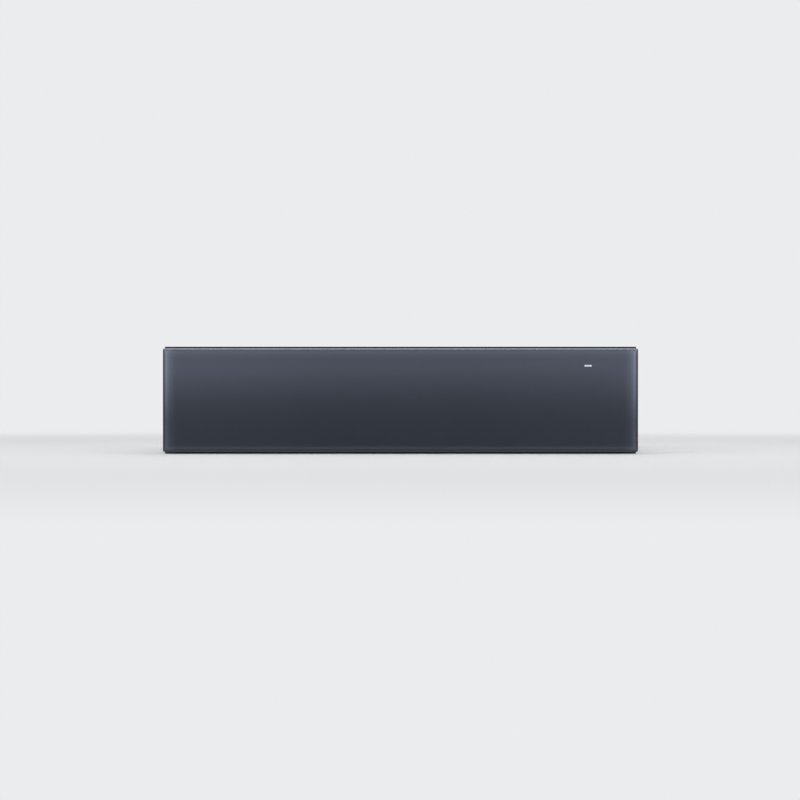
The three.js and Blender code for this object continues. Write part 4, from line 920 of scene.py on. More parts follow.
def tube(node: str) -> Object:
    """Stands a copy with its facets rounded away for a CAD tube."""
    return stand_in(smooth(round_over(merged(node, "round"), TUBE_ROUNDING, 3, 40), 60), node)


# Fasteners ---------------------------------------------------


@dataclass
class PanScrew:
    """A pan-head screw with a cross recess, drawn with its head up and its seat at height 0."""

    head: float = 3.6 * MM
    rise: float = 1.7 * MM
    recess: float = 1.9 * MM

    def outline(self) -> list[tuple[float, float]]:
        """The radii and heights of its outline.

        Returns:
            The outline, from the foot up.
        """
        turns = spread(5, 0.0, 1.25)
        crown = [(self.head * math.cos(t), self.rise * (0.35 + 0.65 * math.sin(t))) for t in turns]
        return [(self.head * 0.96, -0.2 * MM), (self.head, 0.1 * MM), *crown]

    def make(self) -> Object:
        """Makes one.

        Returns:
            The screw.
        """
        profile = self.outline()
        screw = turn("screw", profile, sides=20)
        top = profile[-1][1]
        long, wide, floor = self.recess, 0.18 * self.recess, top - 0.5 * self.recess
        arms = [block("arm", (-x, -y, floor), (x, y, top + MM)) for x, y in ((long, wide), (wide, long))]
        return smooth(carve(screw, *arms), 40)


@dataclass
class FlushScrew(PanScrew):
    """A countersunk screw with a cross recess, drawn with its top at height 0."""

    head: float = 3.3 * MM
    shank: float = 1.6 * MM

    def outline(self) -> list[tuple[float, float]]:
        """The radii and heights of its outline."""
        head, shank, arris = self.head, self.shank, 0.1 * MM
        return [(shank, -2.4 * MM), (shank, shank - head), (head, -arris), (head - arris, 0.0)]

    def sink(self) -> Object:
        """What a drill takes out of the sheet for it."""
        head, cone = self.head + 0.15 * MM, self.head - self.shank
        return turn("sink", [(head - cone - MM, -cone - MM), (head, 0.0), (head + MM, MM)], sides=24)


@dataclass
class Rivet:
    """The head of a blind rivet, with the dimple of its mandrel."""

    head: float = 3.1 * MM
    rise: float = 1.0 * MM

    def make(self) -> Object:
        """Makes one.

        Returns:
            The rivet.
        """
        shares = ((1.0, 0.3), (0.8, 0.8), (0.5, 1.0), (0.3, 1.0), (0.25, 0.4))
        profile = [(self.head, -0.2 * MM), *[(self.head * wide, self.rise * high) for wide, high in shares]]
        return smooth(turn("rivet", profile, sides=20), 40)


# Sub-assemblies ----------------------------------------------


class SubAssembly(ABC):
    """A sub-assembly of the appliance."""

    @abstractmethod
    def build(self) -> list[Object]:
        """Makes and dresses its pieces.

        Returns:
            The pieces.
        """


@dataclass
class DrawerFront(SubAssembly):
    """The glass with its polished bevel, the steel pan and panel behind it, and the lit indicator.

    Fields: the radius of the glass's corners and of those of its bevel, the width of its arris, the width
    of the bevel and its slope at its inner and outer end, the width of the crown that rises from there to
    the flat, with its drop, and the gap round the lit window.
    """

    corner: float = 2.0 * MM
    bevel_corner: float = 1.2 * MM
    arris: float = 1.3 * MM
    bevel: float = 3.1 * MM
    bevel_slopes: tuple[float, float] = (0.096, 0.19)
    bevel_steps: int = 4
    crown: float = 13.0 * MM
    crown_drop: float = 0.4 * MM
    crown_steps: int = 9
    window_inset: float = 0.1 * MM

    def build(self) -> list[Object]:
        """Makes the front.

        Returns:
            The pieces.
        """
        return [
            self.glass(),
            self.light_guide(),
            *reform(0.12, "front_carrier"),
            *reform(0.3, "front_inner_panel"),
            *reform(0.4, "front_bracket_right", "front_bracket_left"),
        ]

    def bevel_drop(self, inset: float) -> float:
        """How far the bevel lies behind its own inner edge, at a distance in from the arris.

        Args:
            inset: The distance.

        Returns:
            The drop.
        """
        left = self.bevel - inset
        inner, outer = self.bevel_slopes
        return inner * left + (outer - inner) * left**2 / (2 * self.bevel)

    def glass(self) -> Object:
        """The glass: polished arrises, a curved bevel, and a crown that rises softly to the flat.

        Returns:
            The dressed piece.
        """
        extent = Extent.of("front_glass")
        half_x, half_z, thick = extent.size.x / 2, extent.size.z / 2, extent.size.y
        crest = thick - self.bevel_drop(0.0)
        edge = [(self.arris, 0.0), (0.0, self.arris), (0.0, crest - self.arris)]
        rings = [Ring(half_x - inset, half_z - inset, height, self.corner) for inset, height in edge]
        for inset in spread(self.bevel_steps + 1, 0.0, self.bevel):
            within, height = self.arris + inset, thick - self.bevel_drop(inset)
            rings.append(Ring(half_x - within, half_z - within, height, self.bevel_corner))
        glass = self.crowned(loft("front_glass_bevelled", rings, steps=8), half_x, half_z)
        settle(glass, extent.foot(Facing.FRONT), Facing.FRONT)
        guide = Extent.of("indicator_lens")
        window = self.bar("window", guide, extent.low.y, extent.high.y, self.window_inset)
        carve(glass, self.bar("window_cut", guide, extent.low.y - MM, extent.high.y + MM, self.window_inset))
        smooth(glass, 5).data.materials.append(Slot.dark_glass.value.material())
        # The window plug gets the light guide's emissive finish: a painted glow on the glass's own face,
        # standing in for the guide's light shining through from behind.
        smooth(window, 30).data.materials.append(self.lit(guide).material())
        return stand_in(joined([glass, window], glass.name), "front_glass")

    def crowned(self, glass: Object, half_x: float, half_z: float) -> Object:
        """Gives the glass its crown, which falls away softly towards each of its four sides.

        Args:
            glass: The glass, lying with its face up.
            half_x: Half its width.
            half_z: Half its height.

        Returns:
            The glass.
        """
        start = self.arris + self.bevel
        with editing(glass):
            for inset in spread(self.crown_steps, start + self.crown / self.crown_steps, start + self.crown):
                for axis, half in ((0, half_x), (1, half_z)):
                    for sign in (-1.0, 1.0):
                        place, normal = [0.0, 0.0, 0.0], [0.0, 0.0, 0.0]
                        place[axis], normal[axis] = sign * (half - inset), 1.0
                        bpy.ops.mesh.select_all(action="SELECT")
                        bpy.ops.mesh.bisect(plane_co=place, plane_no=normal)
        middle = max(vert.co.z for vert in glass.data.vertices) / 2
        for vert in glass.data.vertices:
            if vert.co.z > middle:
                for edge in (half_x - abs(vert.co.x), half_z - abs(vert.co.y)):
                    left = 1.0 - min(max((edge - start) / self.crown, 0.0), 1.0)
                    vert.co.z -= self.crown_drop * left**2
        return glass

    def bar(self, name: str, guide: Extent, front: float, back: float, inset: float = 0.0) -> Object:
        """A bar with round ends that follows the light guide's outline.

        Args:
            name: The piece's name.
            guide: The light guide's box.
            front: Where its front end lies, along y.
            back: Where its back end lies.
            inset: How much smaller it is, all round.

        Returns:
            The bar.
        """
        half_x, half_z = guide.size.x / 2 - inset, guide.size.z / 2 - inset
        bar = loft(name, [Ring(half_x, half_z, z, 0.99 * half_z) for z in (0.0, back - front)])
        return settle(bar, (guide.middle.x, back, guide.middle.z), Facing.FRONT)

    def light_guide(self) -> Object:
        """The light guide behind the lit window.

        Returns:
            The dressed piece.
        """
        guide = Extent.of("indicator_lens")
        piece = smooth(self.bar("indicator_light_guide", guide, guide.low.y, guide.high.y))
        return stand_in(piece, "indicator_lens", self.lit(guide))

    def lit(self, guide: Extent) -> LightGuide:
        """The light guide's finish, lit over its own length."""
        return replace(Slot.light_guide.value, middle=guide.middle.x, reach=guide.size.x / 2)


@dataclass
class Casing(SubAssembly):
    """The sheet-steel casing with its frame, bumpers, gland and fasteners.

    Fields: the radii of the gland's bore and neck, and the places of the fasteners. The cover's screws have
    their distance from its long edges and from its ends. The rear panel is screwed in its corners, given by
    the distance from its sides and two heights, and in a row along its top, given by half its length and its
    distance from the edge.
    """

    gland_bore: float = 5.0 * MM
    gland_neck: float = 7.6 * MM
    screw_inset: float = 7.0 * MM
    first_screw: float = 30.0 * MM
    rear_recess: float = 4.0 * MM
    rear_corners: tuple[float, float, float] = (20.0 * MM, 24.0 * MM, 112.0 * MM)
    rear_row: tuple[float, float] = (150.0 * MM, 8.0 * MM)
    latch_screw: float = 17.0 * MM
    rail_rivet: float = 35.0 * MM
    base_rivet: float = 6.5 * MM

    def build(self) -> list[Object]:
        """Makes the casing.

        Returns:
            The pieces.
        """
        return [
            self.cover(),
            *reform(0.3, "casing_base", "casing_side_right", "casing_side_left", "casing_rear_panel"),
            *reform(0.15, "front_frame"),
            *[self.bumper(node) for node in frame["nodes"] if node.startswith("frame_bumper")],
            self.gland(),
            *self.fasteners(),
        ]

    def bumper(self, node: str) -> Object:
        """One of the rubber bumpers on the frame.

        Args:
            node: The CAD node that it stands for.

        Returns:
            The dressed piece.
        """
        size = Extent.of(node).size
        radius, rise, turns = size.x / 2, size.y, spread(5, 0.0, 1.5)
        crown = [(radius * (0.78 + 0.22 * math.cos(t)), rise * (0.5 + 0.5 * math.sin(t))) for t in turns]
        return seated(turn(f"{node}_moulded", [(radius, 0.0), *crown], sides=32), node, Facing.FRONT)

    def gland(self) -> Object:
        """The bush that the supply cable comes out of.

        Returns:
            The dressed piece.
        """
        size = Extent.of("cable_gland").size
        deep, flange = size.y, size.x / 2
        bore, neck, wall, seat = self.gland_bore, self.gland_neck, 1 * MM, 0.3 * MM
        inside = deep - 5 * MM - wall - seat
        outside = inside + wall + 2 * seat
        profile = [
            (bore, 0.0), (bore + 0.5 * MM, 0.0), (neck + 2 * MM, 2 * MM), (neck + 2 * MM, inside),
            (neck, inside), (neck, outside), (flange - 0.4 * MM, outside), (flange, outside + 0.5 * MM),
            (flange, deep - 1.5 * MM), (neck + 1.2 * MM, deep - 0.5 * MM), (neck, deep),
            (bore + 0.6 * MM, deep), (bore, deep - 0.8 * MM),
        ]
        gland = turn("cable_gland_moulded", profile, sides=64, closed=True)
        return seated(gland, "cable_gland", Facing.BACK, 30)

    def along(self) -> list[float]:
        """Where along the casing its side fasteners sit."""
        cover = Extent.of("casing_top_cover")
        return spread(4, cover.low.y + self.first_screw, cover.high.y - self.first_screw)

    def cover_screws(self) -> list[Place]:
        """Where the cover's screws sit."""
        high = Extent.of("casing_top_cover").high
        return [(sign * (high.x - self.screw_inset), y, high.z) for sign in (-1, 1) for y in self.along()]

    def cover(self) -> Object:
        """The cover, countersunk for its screws."""
        cutter = copies(FlushScrew().sink(), "sinks", self.cover_screws())
        return stand_in(formed("casing_top_cover", 0.3, cutter), "casing_top_cover")

    def fasteners(self) -> list[Object]:
        """The screws of the cover, the rear panel and the latch, and the rivets of the runners and base.

        Returns:
            The pieces.
        """
        wall, rear = Extent.of("casing_top_cover").high.x, Extent.of("casing_rear_panel").high
        latch, runner = Extent.of("latch_housing").middle, Extent.of("runner_outer_member_right")
        rear_y = rear.y - self.rear_recess
        inset, lower, upper = self.rear_corners
        reach, below = self.rear_row
        backs = [(sign * (rear.x - inset), rear_y, z) for sign in (-1, 1) for z in (lower, upper)]
        backs += [(x, rear_y, rear.z - below) for x in spread(3, -reach, reach)]
        backs += [(latch.x + sign * self.latch_screw, rear_y, latch.z) for sign in (-1, 1)]
        rails = spread(3, runner.low.y + self.rail_rivet, runner.high.y - self.rail_rivet)
        right = [(wall, y, runner.middle.z) for y in rails]
        right += [(wall, y, self.base_rivet) for y in self.along()]
        heads = [
            copies(FlushScrew().make(), "cover_screws", self.cover_screws()),
            copies(PanScrew().make(), "rear_screws", backs, Facing.BACK),
            copies(Rivet().make(), "right_side_rivets", right, Facing.RIGHT),
            copies(Rivet().make(), "left_side_rivets", [(-x, y, z) for x, y, z in right], Facing.LEFT),
        ]
        return [dress(piece, "casing", Slot.zinc_rail) for piece in heads]


@dataclass
class Runners(SubAssembly):
    """The two ball-bearing runners: three members each, and two cages of balls.

    Fields: the balls in a row, the distance of the outermost ball from the cage's end, the thickness of the
    cage's strip, and the radius of the balls and their distance from the cage's open side, by cage.
    """

    balls: int = 9
    ball_inset: float = 12.0 * MM
    strip: float = 0.65 * MM
    cages: tuple[tuple[str, float, float], ...] = (
        ("outer", 1.9 * MM, 0.5 * MM),
        ("inner", 1.5 * MM, 0.4 * MM),
    )

    def build(self) -> list[Object]:
        """Makes the runners.

        Returns:
            The pieces.
        """
        sides, members = ("right", "left"), ("outer", "middle", "inner")
        made = reform(0.35, *[f"runner_{name}_member_{side}" for side in sides for name in members])
        for place, radius, gap in self.cages:
            right = self.cage(place, radius, gap)
            left = mirrored(right, f"ball_cage_{place}_left_balls")
            made += [stand_in(right, f"ball_cage_{place}_right"), stand_in(left, f"ball_cage_{place}_left")]
        return made

    def cage(self, place: str, radius: float, gap: float) -> Object:
        """A cage: a folded strip whose two flanges carry a row of balls each.

        Args:
            place: Which of the two cages it is.
            radius: The radius of its balls.
            gap: Their distance from its open side.

        Returns:
            The cage.
        """
        extent = Extent.of(f"ball_cage_{place}_right")
        (left, front, low), (right, back, high) = extent.low, extent.high
        rows = (high - radius, low + radius)
        web = block("web", (right - self.strip, front, rows[1]), (right, back, rows[0]))
        half = self.strip / 2
        flanges = [block("flange", (left, front, z - half), (right, back, z + half)) for z in rows]
        ball = blank("ball")
        with editing(ball):
            bpy.ops.mesh.primitive_uv_sphere_add(segments=16, ring_count=10, radius=radius)
        along = spread(self.balls, front + self.ball_inset, back - self.ball_inset)
        balls = copies(smooth(ball, 60), "balls", [(left + radius + gap, y, z) for z in rows for y in along])
        return joined([web, *flanges, balls], f"ball_cage_{place}_right_balls")


@dataclass
class DrawerBody(SubAssembly):
    """The chassis, the pressed tub, the anti-slip mat and the deck in front of the tub.

    Fields: the tub's wall, corners, fillet and roll, the width of its rim on each side and its corners, the
    radius of its hole for the fan and its row of air slots, then the mat's corners, border and studs, and the
    distance of the rivets from the rim's long edges and from its ends.
    """

    wall: float = 0.8 * MM
    corner: float = 8.0 * MM
    fillet: float = 4.0 * MM
    roll: float = 3.0 * MM
    rim_side: float = 25.7 * MM
    rim_front: float = 7.4 * MM
    rim_back: float = 48.0 * MM
    rim_corner: float = 2.0 * MM
    fan_hole: float = 32.0 * MM
    air_slots: int = 9
    air_slot: tuple[float, float] = (12.0 * MM, 2.5 * MM)
    air_slot_reach: float = 160.0 * MM
    air_slot_rise: float = 7.0 * MM
    mat_corner: float = 3.5 * MM
    mat_border: float = 8.0 * MM
    stud_pitch: float = 11.5 * MM
    stud: float = 2.6 * MM
    rivet_inset: float = 8.0 * MM
    first_rivet: float = 20.0 * MM

    def build(self) -> list[Object]:
        """Makes the body of the drawer."""
        chassis = ["chassis_base", "chassis_side_right", "chassis_side_left", "chassis_back"]
        return [*reform(0.25, *chassis, "control_deck"), self.tub(), self.mat(), self.rivets()]

    def tub(self) -> Object:
        """The pressed tub, from its underside up, over the rolled rim and down inside.

        Returns:
            The dressed piece.
        """
        extent = Extent.of("warming_tub")
        low, high, wall = extent.low, extent.high, self.wall
        half_x = high.x - self.rim_side
        front, back = low.y + self.rim_front, high.y - self.rim_back
        middle, half_y = (front + back) / 2, (back - front) / 2
        quarter = spread(6, 0.0, math.pi / 2)

        def level(grow: float, z: float) -> Ring:
            """The tub's outline at a height, grown all round."""
            return Ring(half_x + grow, half_y + grow, z, self.corner + grow, middle)

        def fillet(r: float, floor: float, grow: float) -> list[Ring]:
            """The levels of the rounding at the bottom, from the floor up."""
            return [level(grow - r * (1 - math.sin(t)), floor + r * (1 - math.cos(t))) for t in quarter]

        def roll(r: float, top: float, grow: float) -> list[Ring]:
            """The levels of the rounding that turns out to the rim."""
            return [level(grow + r * (1 - math.cos(t)), top - r * (1 - math.sin(t))) for t in quarter]

        def rim(z: float) -> Ring:
            """The rim's edge at a height."""
            return Ring(high.x, extent.size.y / 2, z, self.rim_corner, extent.middle.y)

        rings = [
            *fillet(self.fillet + wall, low.z, wall),
            *roll(self.roll - wall, high.z - wall, wall),
            rim(high.z - wall),
            rim(high.z),
            *reversed(roll(self.roll, high.z, 0.0)),
            *reversed(fillet(self.fillet, low.z + wall, 0.0)),
        ]
        tub = loft("warming_tub_pressed", rings, steps=8)
        hole = turn("hole", [(self.fan_hole, z) for z in (-3 * MM, 3 * MM)], sides=64)
        settle(hole, (0.0, back, Extent.of("fan_grille").middle.z), Facing.FRONT)
        slot_z, reach = low.z + wall + self.fillet + self.air_slot_rise, self.air_slot_reach
        places = [(x, front, slot_z) for x in spread(self.air_slots, -reach, reach)]
        long, wide = self.air_slot
        slot = loft("slot", [Ring(long, wide, z, wide - 0.01 * MM) for z in (-2 * MM, 3 * MM)])
        carve(tub, hole, copies(slot, "slots", places, Facing.FRONT))
        return stand_in(smooth(tub, 30), "warming_tub")

    def mat(self) -> Object:
        """The anti-slip mat, with a round low stud at every crossing of its grid.

        Returns:
            The dressed piece.
        """
        size = Extent.of("anti_slip_mat").size
        half_x, half_y, thick, pitch = size.x / 2, size.y / 2, size.z, self.stud_pitch
        top = thick - 0.5 * MM
        foot = [(0.0, 0.0), (0.0, top - 0.4 * MM)]
        face = [(0.4 * MM, top), (2.4 * MM, top), (2.9 * MM, top - 0.5 * MM)]
        rings = [Ring(half_x - inset, half_y - inset, z, self.mat_corner - inset) for inset, z in foot + face]
        sheet = smooth(loft("anti_slip_mat_studded", rings), 30)
        wide = self.stud
        profile = [(wide, top - 0.6 * MM), (0.9 * wide, thick - 0.25 * MM), (0.62 * wide, thick)]
        stud = turn("stud", profile, sides=10)
        columns, rows = (int((side - 2 * self.mat_border) / pitch) for side in (size.x, size.y))
        apart = {"use_relative_offset": False, "use_constant_offset": True}
        with_modifier(stud, "ARRAY", count=columns, constant_offset_displace=(pitch, 0.0, 0.0), **apart)
        with_modifier(stud, "ARRAY", count=rows, constant_offset_displace=(0.0, pitch, 0.0), **apart)
        smooth(settle(stud, (-(columns - 1) * pitch / 2, -(rows - 1) * pitch / 2, 0.0)), 30)
        mat = joined([sheet, stud], sheet.name)
        return stand_in(settle(mat, Extent.of("anti_slip_mat").foot(Facing.UP)), "anti_slip_mat")

    def rivets(self) -> Object:
        """The rivets that join the tub's rim to the chassis sides.

        Returns:
            The dressed piece.
        """
        extent = Extent.of("warming_tub")
        along = spread(5, extent.low.y + self.first_rivet, extent.high.y - self.first_rivet)
        x, z = extent.high.x - self.rivet_inset, extent.high.z
        places = [(sign * x, y, z) for sign in (-1, 1) for y in along]
        heads = copies(Rivet(2.4 * MM, 0.8 * MM).make(), "rim_rivets", places)
        return dress(heads, "drawer", Slot.stainless_steel)


@dataclass
class Controls(SubAssembly):
    """The fascia with its dial, the knob and the button, and what is under them.

    Fields: how many flutes the knob has, and the share of its radius that they leave, then the scale's inner
    radius and that of its numbers, its strokes with their lengths and half their widths, the place and the
    reach of the scale in degrees, the lowest temperature and how much warmer each stroke is, and the size of
    the numbers and the height of the print.
    """

    knob_flutes: int = 24
    flute_share: float = 0.935
    scale_inner: float = 12.9 * MM
    scale_numbers: float = 17.1 * MM
    scale_strokes: int = 11
    long_stroke: tuple[float, float] = (1.6 * MM, 0.2 * MM)
    short_stroke: tuple[float, float] = (0.9 * MM, 0.13 * MM)
    scale_first: float = 225.0
    scale_sweep: float = 270.0
    coolest: int = 30
    stroke_step: int = 5
    number_size: float = 3.0 * MM
    print_rise: float = 0.06 * MM

    def build(self) -> list[Object]:
        """Makes the controls.

        Returns:
            The pieces.
        """
        return [
            *reform(0.5, "control_fascia", "control_housing"),
            *reform(0.2, "control_board", "thermostat", "power_switch", "knob_spindle"),
            self.knob(),
            self.pointer(),
            self.button(),
            self.button_mark(),
            self.scale(),
        ]

    def knob(self) -> Object:
        """The knob: a skirt, a fluted grip and a slightly dished top.

        Returns:
            The dressed piece.
        """
        size = Extent.of("temperature_knob").size
        radius, top = size.x / 2, size.z - 0.6 * MM
        skirt = [(-0.3, 0.0), (0.0, 0.3), (0.0, 1.5), (-0.5, 2.0), (-1.4, 2.3), (-1.5, 2.9)]
        grip = [(-1.9, -1.0), (-2.3, -0.35), (-3.0, 0.0), (-4.0, 0.0), (-6.0, -0.25)]
        profile = [
            (3.3 * MM, 0.0),
            *[(radius + x * MM, z * MM) for x, z in skirt],
            *[(radius + x * MM, top + z * MM) for x, z in grip],
            (2.0 * MM, top - 0.4 * MM),
        ]
        per_flute, fluted = 5, range(len(skirt), len(skirt) + 3)
        sides = self.knob_flutes * per_flute
        knob = turn("temperature_knob_fluted", profile, sides=sides)
        with editing(knob) as mesh:
            shape = bmesh.from_edit_mesh(mesh)
            for vert in shape.verts:
                level, around = divmod(vert.index, sides)
                vert.select = level in fluted and around % per_flute in (0, 1)
            bmesh.update_edit_mesh(mesh)
            narrower = (self.flute_share, self.flute_share, 1.0)
            bpy.ops.transform.resize(value=narrower, center_override=(0.0, 0.0, 0.0))
        return seated(knob, "temperature_knob", angle=40)

    def pointer(self) -> Object:
        """The white pointer inlaid in the knob.

        Returns:
            The dressed piece.
        """
        extent = Extent.of("temperature_knob")
        half, first, last = 0.7 * MM, 2.5 * MM, extent.size.y / 2 - 2.6 * MM
        levels = ((0.0, -1.0 * MM, 0.6 * MM), (0.0, 0.35 * MM, 0.6 * MM), (0.2 * MM, 0.5 * MM, 0.45 * MM))
        rings = [Ring(half - inset, (last - first) / 2 - inset, z, corner) for inset, z, corner in levels]
        pointer = smooth(loft("temperature_knob_pointer", rings, steps=4))
        at = (extent.middle.x, extent.middle.y + (first + last) / 2, extent.high.z - 0.6 * MM)
        return dress(settle(pointer, at), "temperature_dial", Slot.black_plastic, WHITE_PRINT)

    def button(self) -> Object:
        """The button, with a dished top.

        Returns:
            The dressed piece.
        """
        size = Extent.of("power_button").size
        half, top = size.x / 2, size.z
        crown = [(0.0, 0.9), (0.15, 0.35), (0.5, 0.08), (1.0, 0.0), (2.2, 0.02), (3.4, 0.25), (4.4, 0.38)]
        levels = [(0.3 * MM, 0.0), (0.0, 0.3 * MM), *[(inset * MM, top - drop * MM) for inset, drop in crown]]
        rings = [Ring(half - inset, half - inset, z, 2 * MM) for inset, z in levels]
        return seated(loft("power_button_dished", rings), "power_button", angle=30)

    def button_mark(self) -> Object:
        """The printed ring and bar on the button.

        Returns:
            The dressed piece.
        """
        extent = Extent.of("power_button")
        inner, outer, rise = 1.25 * MM, 1.6 * MM, 0.12 * MM
        profile = [(inner, 0.0), (outer, 0.0), (outer, rise), (inner, rise)]
        mark = turn("mark_ring", profile, sides=40, closed=True)
        carve(mark, block("gap", (-0.6 * MM, 0.5 * MM, -MM), (0.6 * MM, 3 * MM, MM)))
        bar = block("mark_bar", (-0.17 * MM, 0.5 * MM, 0.0), (0.17 * MM, 1.9 * MM, rise))
        at = (extent.middle.x, extent.middle.y, extent.high.z - 0.44 * MM)
        mark = settle(joined([mark, bar], "power_button_mark"), at)
        return dress(mark, "power_key", Slot.black_plastic, WHITE_PRINT)

    def scale(self) -> Object:
        """The printed scale round the knob: strokes, and the temperatures from 30 to 80.

        Returns:
            The dressed piece.
        """
        x, y, _ = Extent.of("temperature_knob").middle
        top = Extent.of("control_fascia").high.z
        parts = []
        degrees = spread(self.scale_strokes, self.scale_first, self.scale_first - self.scale_sweep)
        for index, angle in enumerate(map(math.radians, degrees)):
            numbered = index % 2 == 0
            long, half = self.long_stroke if numbered else self.short_stroke
            inner = self.scale_inner
            stroke = block("stroke", (inner, -half, 0.0), (inner + long, half, self.print_rise))
            stroke.data.transform(Matrix.Rotation(angle, 4, "Z"))
            parts.append(settle(stroke, (x, y, top)))
            if numbered:
                reach = self.scale_numbers
                at = (x + reach * math.cos(angle), y + reach * math.sin(angle), top)
                parts.append(self.number(str(self.coolest + self.stroke_step * index), at))
        return dress(joined(parts, "temperature_scale"), "drawer", Slot.black_plastic, WHITE_PRINT)

    def number(self, text: str, at: Place) -> Object:
        """A printed number, centred on a place.

        Args:
            text: The number.
            at: The place.

        Returns:
            The print.
        """
        deselect()
        bpy.ops.object.text_add()
        letters = bpy.context.object.data
        letters.body = text
        letters.size = self.number_size
        letters.align_x, letters.align_y = "CENTER", "CENTER"
        letters.extrude = self.print_rise
        letters.resolution_u = 3
        bpy.ops.object.convert(target="MESH")
        printed = bpy.context.object
        with editing(printed, selected=True):
            bpy.ops.mesh.remove_doubles(threshold=0.0005 * MM)
        return settle(printed, at)


@dataclass
class Heating(SubAssembly):
    """The element in its tray and the insulation, under the tub.

    Fields: the depth and the size of the needling's dents, and the levels across the top of the blanket.
    """

    needling: float = 0.5 * MM
    needling_size: float = 12.0 * MM
    skin_rings: int = 18

    def build(self) -> list[Object]:
        """Makes the heating unit."""
        return [*reform(0.25, "heater_tray"), tube("heater_element"), self.blanket()]

    def blanket(self) -> Object:
        """The fibre blanket, its skin uneven from needling.

        Returns:
            The dressed piece.
        """
        size = Extent.of("insulation_pad").size
        half_x, half_y, thick = size.x / 2, size.y / 2, size.z
        levels = [(MM, 0.2 * MM, 9 * MM), (0.2 * MM, 0.4 * thick, 10 * MM), (MM, thick - 0.5 * MM, 9 * MM)]
        levels += [(inset, thick - 0.3 * MM, 8 * MM) for inset in spread(self.skin_rings, 6 * MM, 170 * MM)]
        rings = [Ring(half_x - inset, half_y - inset, z, corner) for inset, z, corner in levels]
        blanket = loft("insulation_blanket", rings, steps=8)
        with_modifier(blanket, "TRIANGULATE")
        with_modifier(blanket, "SUBSURF", levels=1, render_levels=1, subdivision_type="SIMPLE")
        clouds = bpy.data.textures.new("needling", "CLOUDS")
        clouds.noise_scale = self.needling_size
        with_modifier(blanket, "DISPLACE", texture=clouds, strength=self.needling, mid_level=1.0)
        seated(blanket, "insulation_pad", angle=60)
        return blanket


@dataclass
class FanUnit(SubAssembly):
    """The fan behind the tub, its grille, the safety cut-out and the temperature sensor.

    Fields: the grille's slots and the distance of its screws from its edge, and the radius of the probe.
    """

    slots: int = 5
    slot_pitch: float = 10.0 * MM
    slot_width: float = 4.6 * MM
    slot_border: float = 4.5 * MM
    screw_inset: float = 2.6 * MM
    probe: float = 3.2 * MM

    def build(self) -> list[Object]:
        """Makes the fan unit.

        Returns:
            The pieces.
        """
        return [
            *reform(0.25, "fan_housing", "fan_motor", "thermal_cutout"),
            *reform(0.12, "fan_impeller"),
            self.sensor(),
            self.grille(),
            self.grille_screws(),
        ]

    def grille(self) -> Object:
        """The dished cover, with round-ended slots.

        Returns:
            The dressed piece.
        """
        size = Extent.of("fan_grille").size
        radius, wall = size.x / 2, 1 * MM
        dish = size.y - wall
        shoulder, foot = radius - 9 * MM, radius - 6 * MM

        def skin(drop: float, inset: float) -> list[tuple[float, float]]:
            """The profile of one of its two skins, from the flange in.

            Args:
                drop: How far it stands above the inner one.
                inset: How much narrower its dish is.

            Returns:
                The radii and heights.
            """
            return [
                (radius, drop),
                (foot + 0.6 * MM - inset, drop),
                (foot - 0.3 * MM - inset, drop + 0.3 * MM),
                (shoulder + 0.4 * MM - inset, drop + dish - 0.4 * MM),
                (shoulder - 0.6 * MM - inset, drop + dish),
                (2 * MM, drop + dish),
            ]

        profile = [*reversed(skin(0.0, 0.5 * MM)), *skin(wall, 0.0)]
        grille = turn("fan_grille_pressed", profile, sides=72)
        cutters = []
        outermost = (self.slots - 1) / 2 * self.slot_pitch
        for height in spread(self.slots, -outermost, outermost):
            half = math.sqrt(shoulder**2 - height**2) - self.slot_border
            ring = [Ring(half, self.slot_width / 2, z, 0.49 * self.slot_width) for z in (MM, 9 * MM)]
            cutters.append(settle(loft("slot", ring), (0.0, height, 0.0)))
        round_over(carve(grille, joined(cutters, "slots")), 0.15 * MM, 2, 60)
        return seated(grille, "fan_grille", Facing.FRONT, 40)

    def grille_screws(self) -> Object:
        """The three small screws in the grille's flange.

        Returns:
            The dressed piece.
        """
        extent = Extent.of("fan_grille")
        reach, y, z = extent.size.x / 2 - self.screw_inset, extent.high.y - MM, extent.middle.z
        angles = map(math.radians, (90, 210, 330))
        places = [(reach * math.cos(angle), y, z + reach * math.sin(angle)) for angle in angles]
        heads = copies(PanScrew(1.9 * MM, 0.9 * MM, 1.0 * MM).make(), "grille_screws", places, Facing.FRONT)
        return dress(heads, "drawer", Slot.stainless_steel)

    def sensor(self) -> Object:
        """The temperature sensor's tube and flange.

        Returns:
            The dressed piece.
        """
        size = Extent.of("temperature_sensor").size
        flange, probe, deep = size.x / 2, self.probe, size.y
        profile = [
            (flange - 0.3 * MM, 0.0), (flange, 0.3 * MM), (flange, 1.7 * MM), (flange - 0.5 * MM, 2 * MM),
            (probe + 0.5 * MM, 2.6 * MM), (probe, 3.2 * MM),
            (probe, deep - 0.6 * MM), (probe - 0.6 * MM, deep),
        ]
        sensor = turn("temperature_sensor_turned", profile, sides=40)
        return seated(sensor, "temperature_sensor", Facing.BACK)


@dataclass
class PushLatch(SubAssembly):
    """The latch on the rear panel and its striker on the drawer."""

    dome: float = 1.4 * MM

    def build(self) -> list[Object]:
        """Makes the latch."""
        return [*reform(0.4, "latch_housing"), *reform(0.3, "latch_striker"), self.plunger()]

    def plunger(self) -> Object:
        """The sprung plunger, with a domed tip.

        Returns:
            The dressed piece.
        """
        size = Extent.of("latch_plunger").size
        radius, deep = size.x / 2, size.y
        dome = [(radius * math.cos(t), deep - self.dome * (1 - math.sin(t))) for t in spread(6, 0.0, 1.3)]
        profile = [(radius - 0.3 * MM, 0.0), (radius, 0.3 * MM), *dome]
        return seated(turn("latch_plunger_turned", profile, sides=40), "latch_plunger", Facing.FRONT)


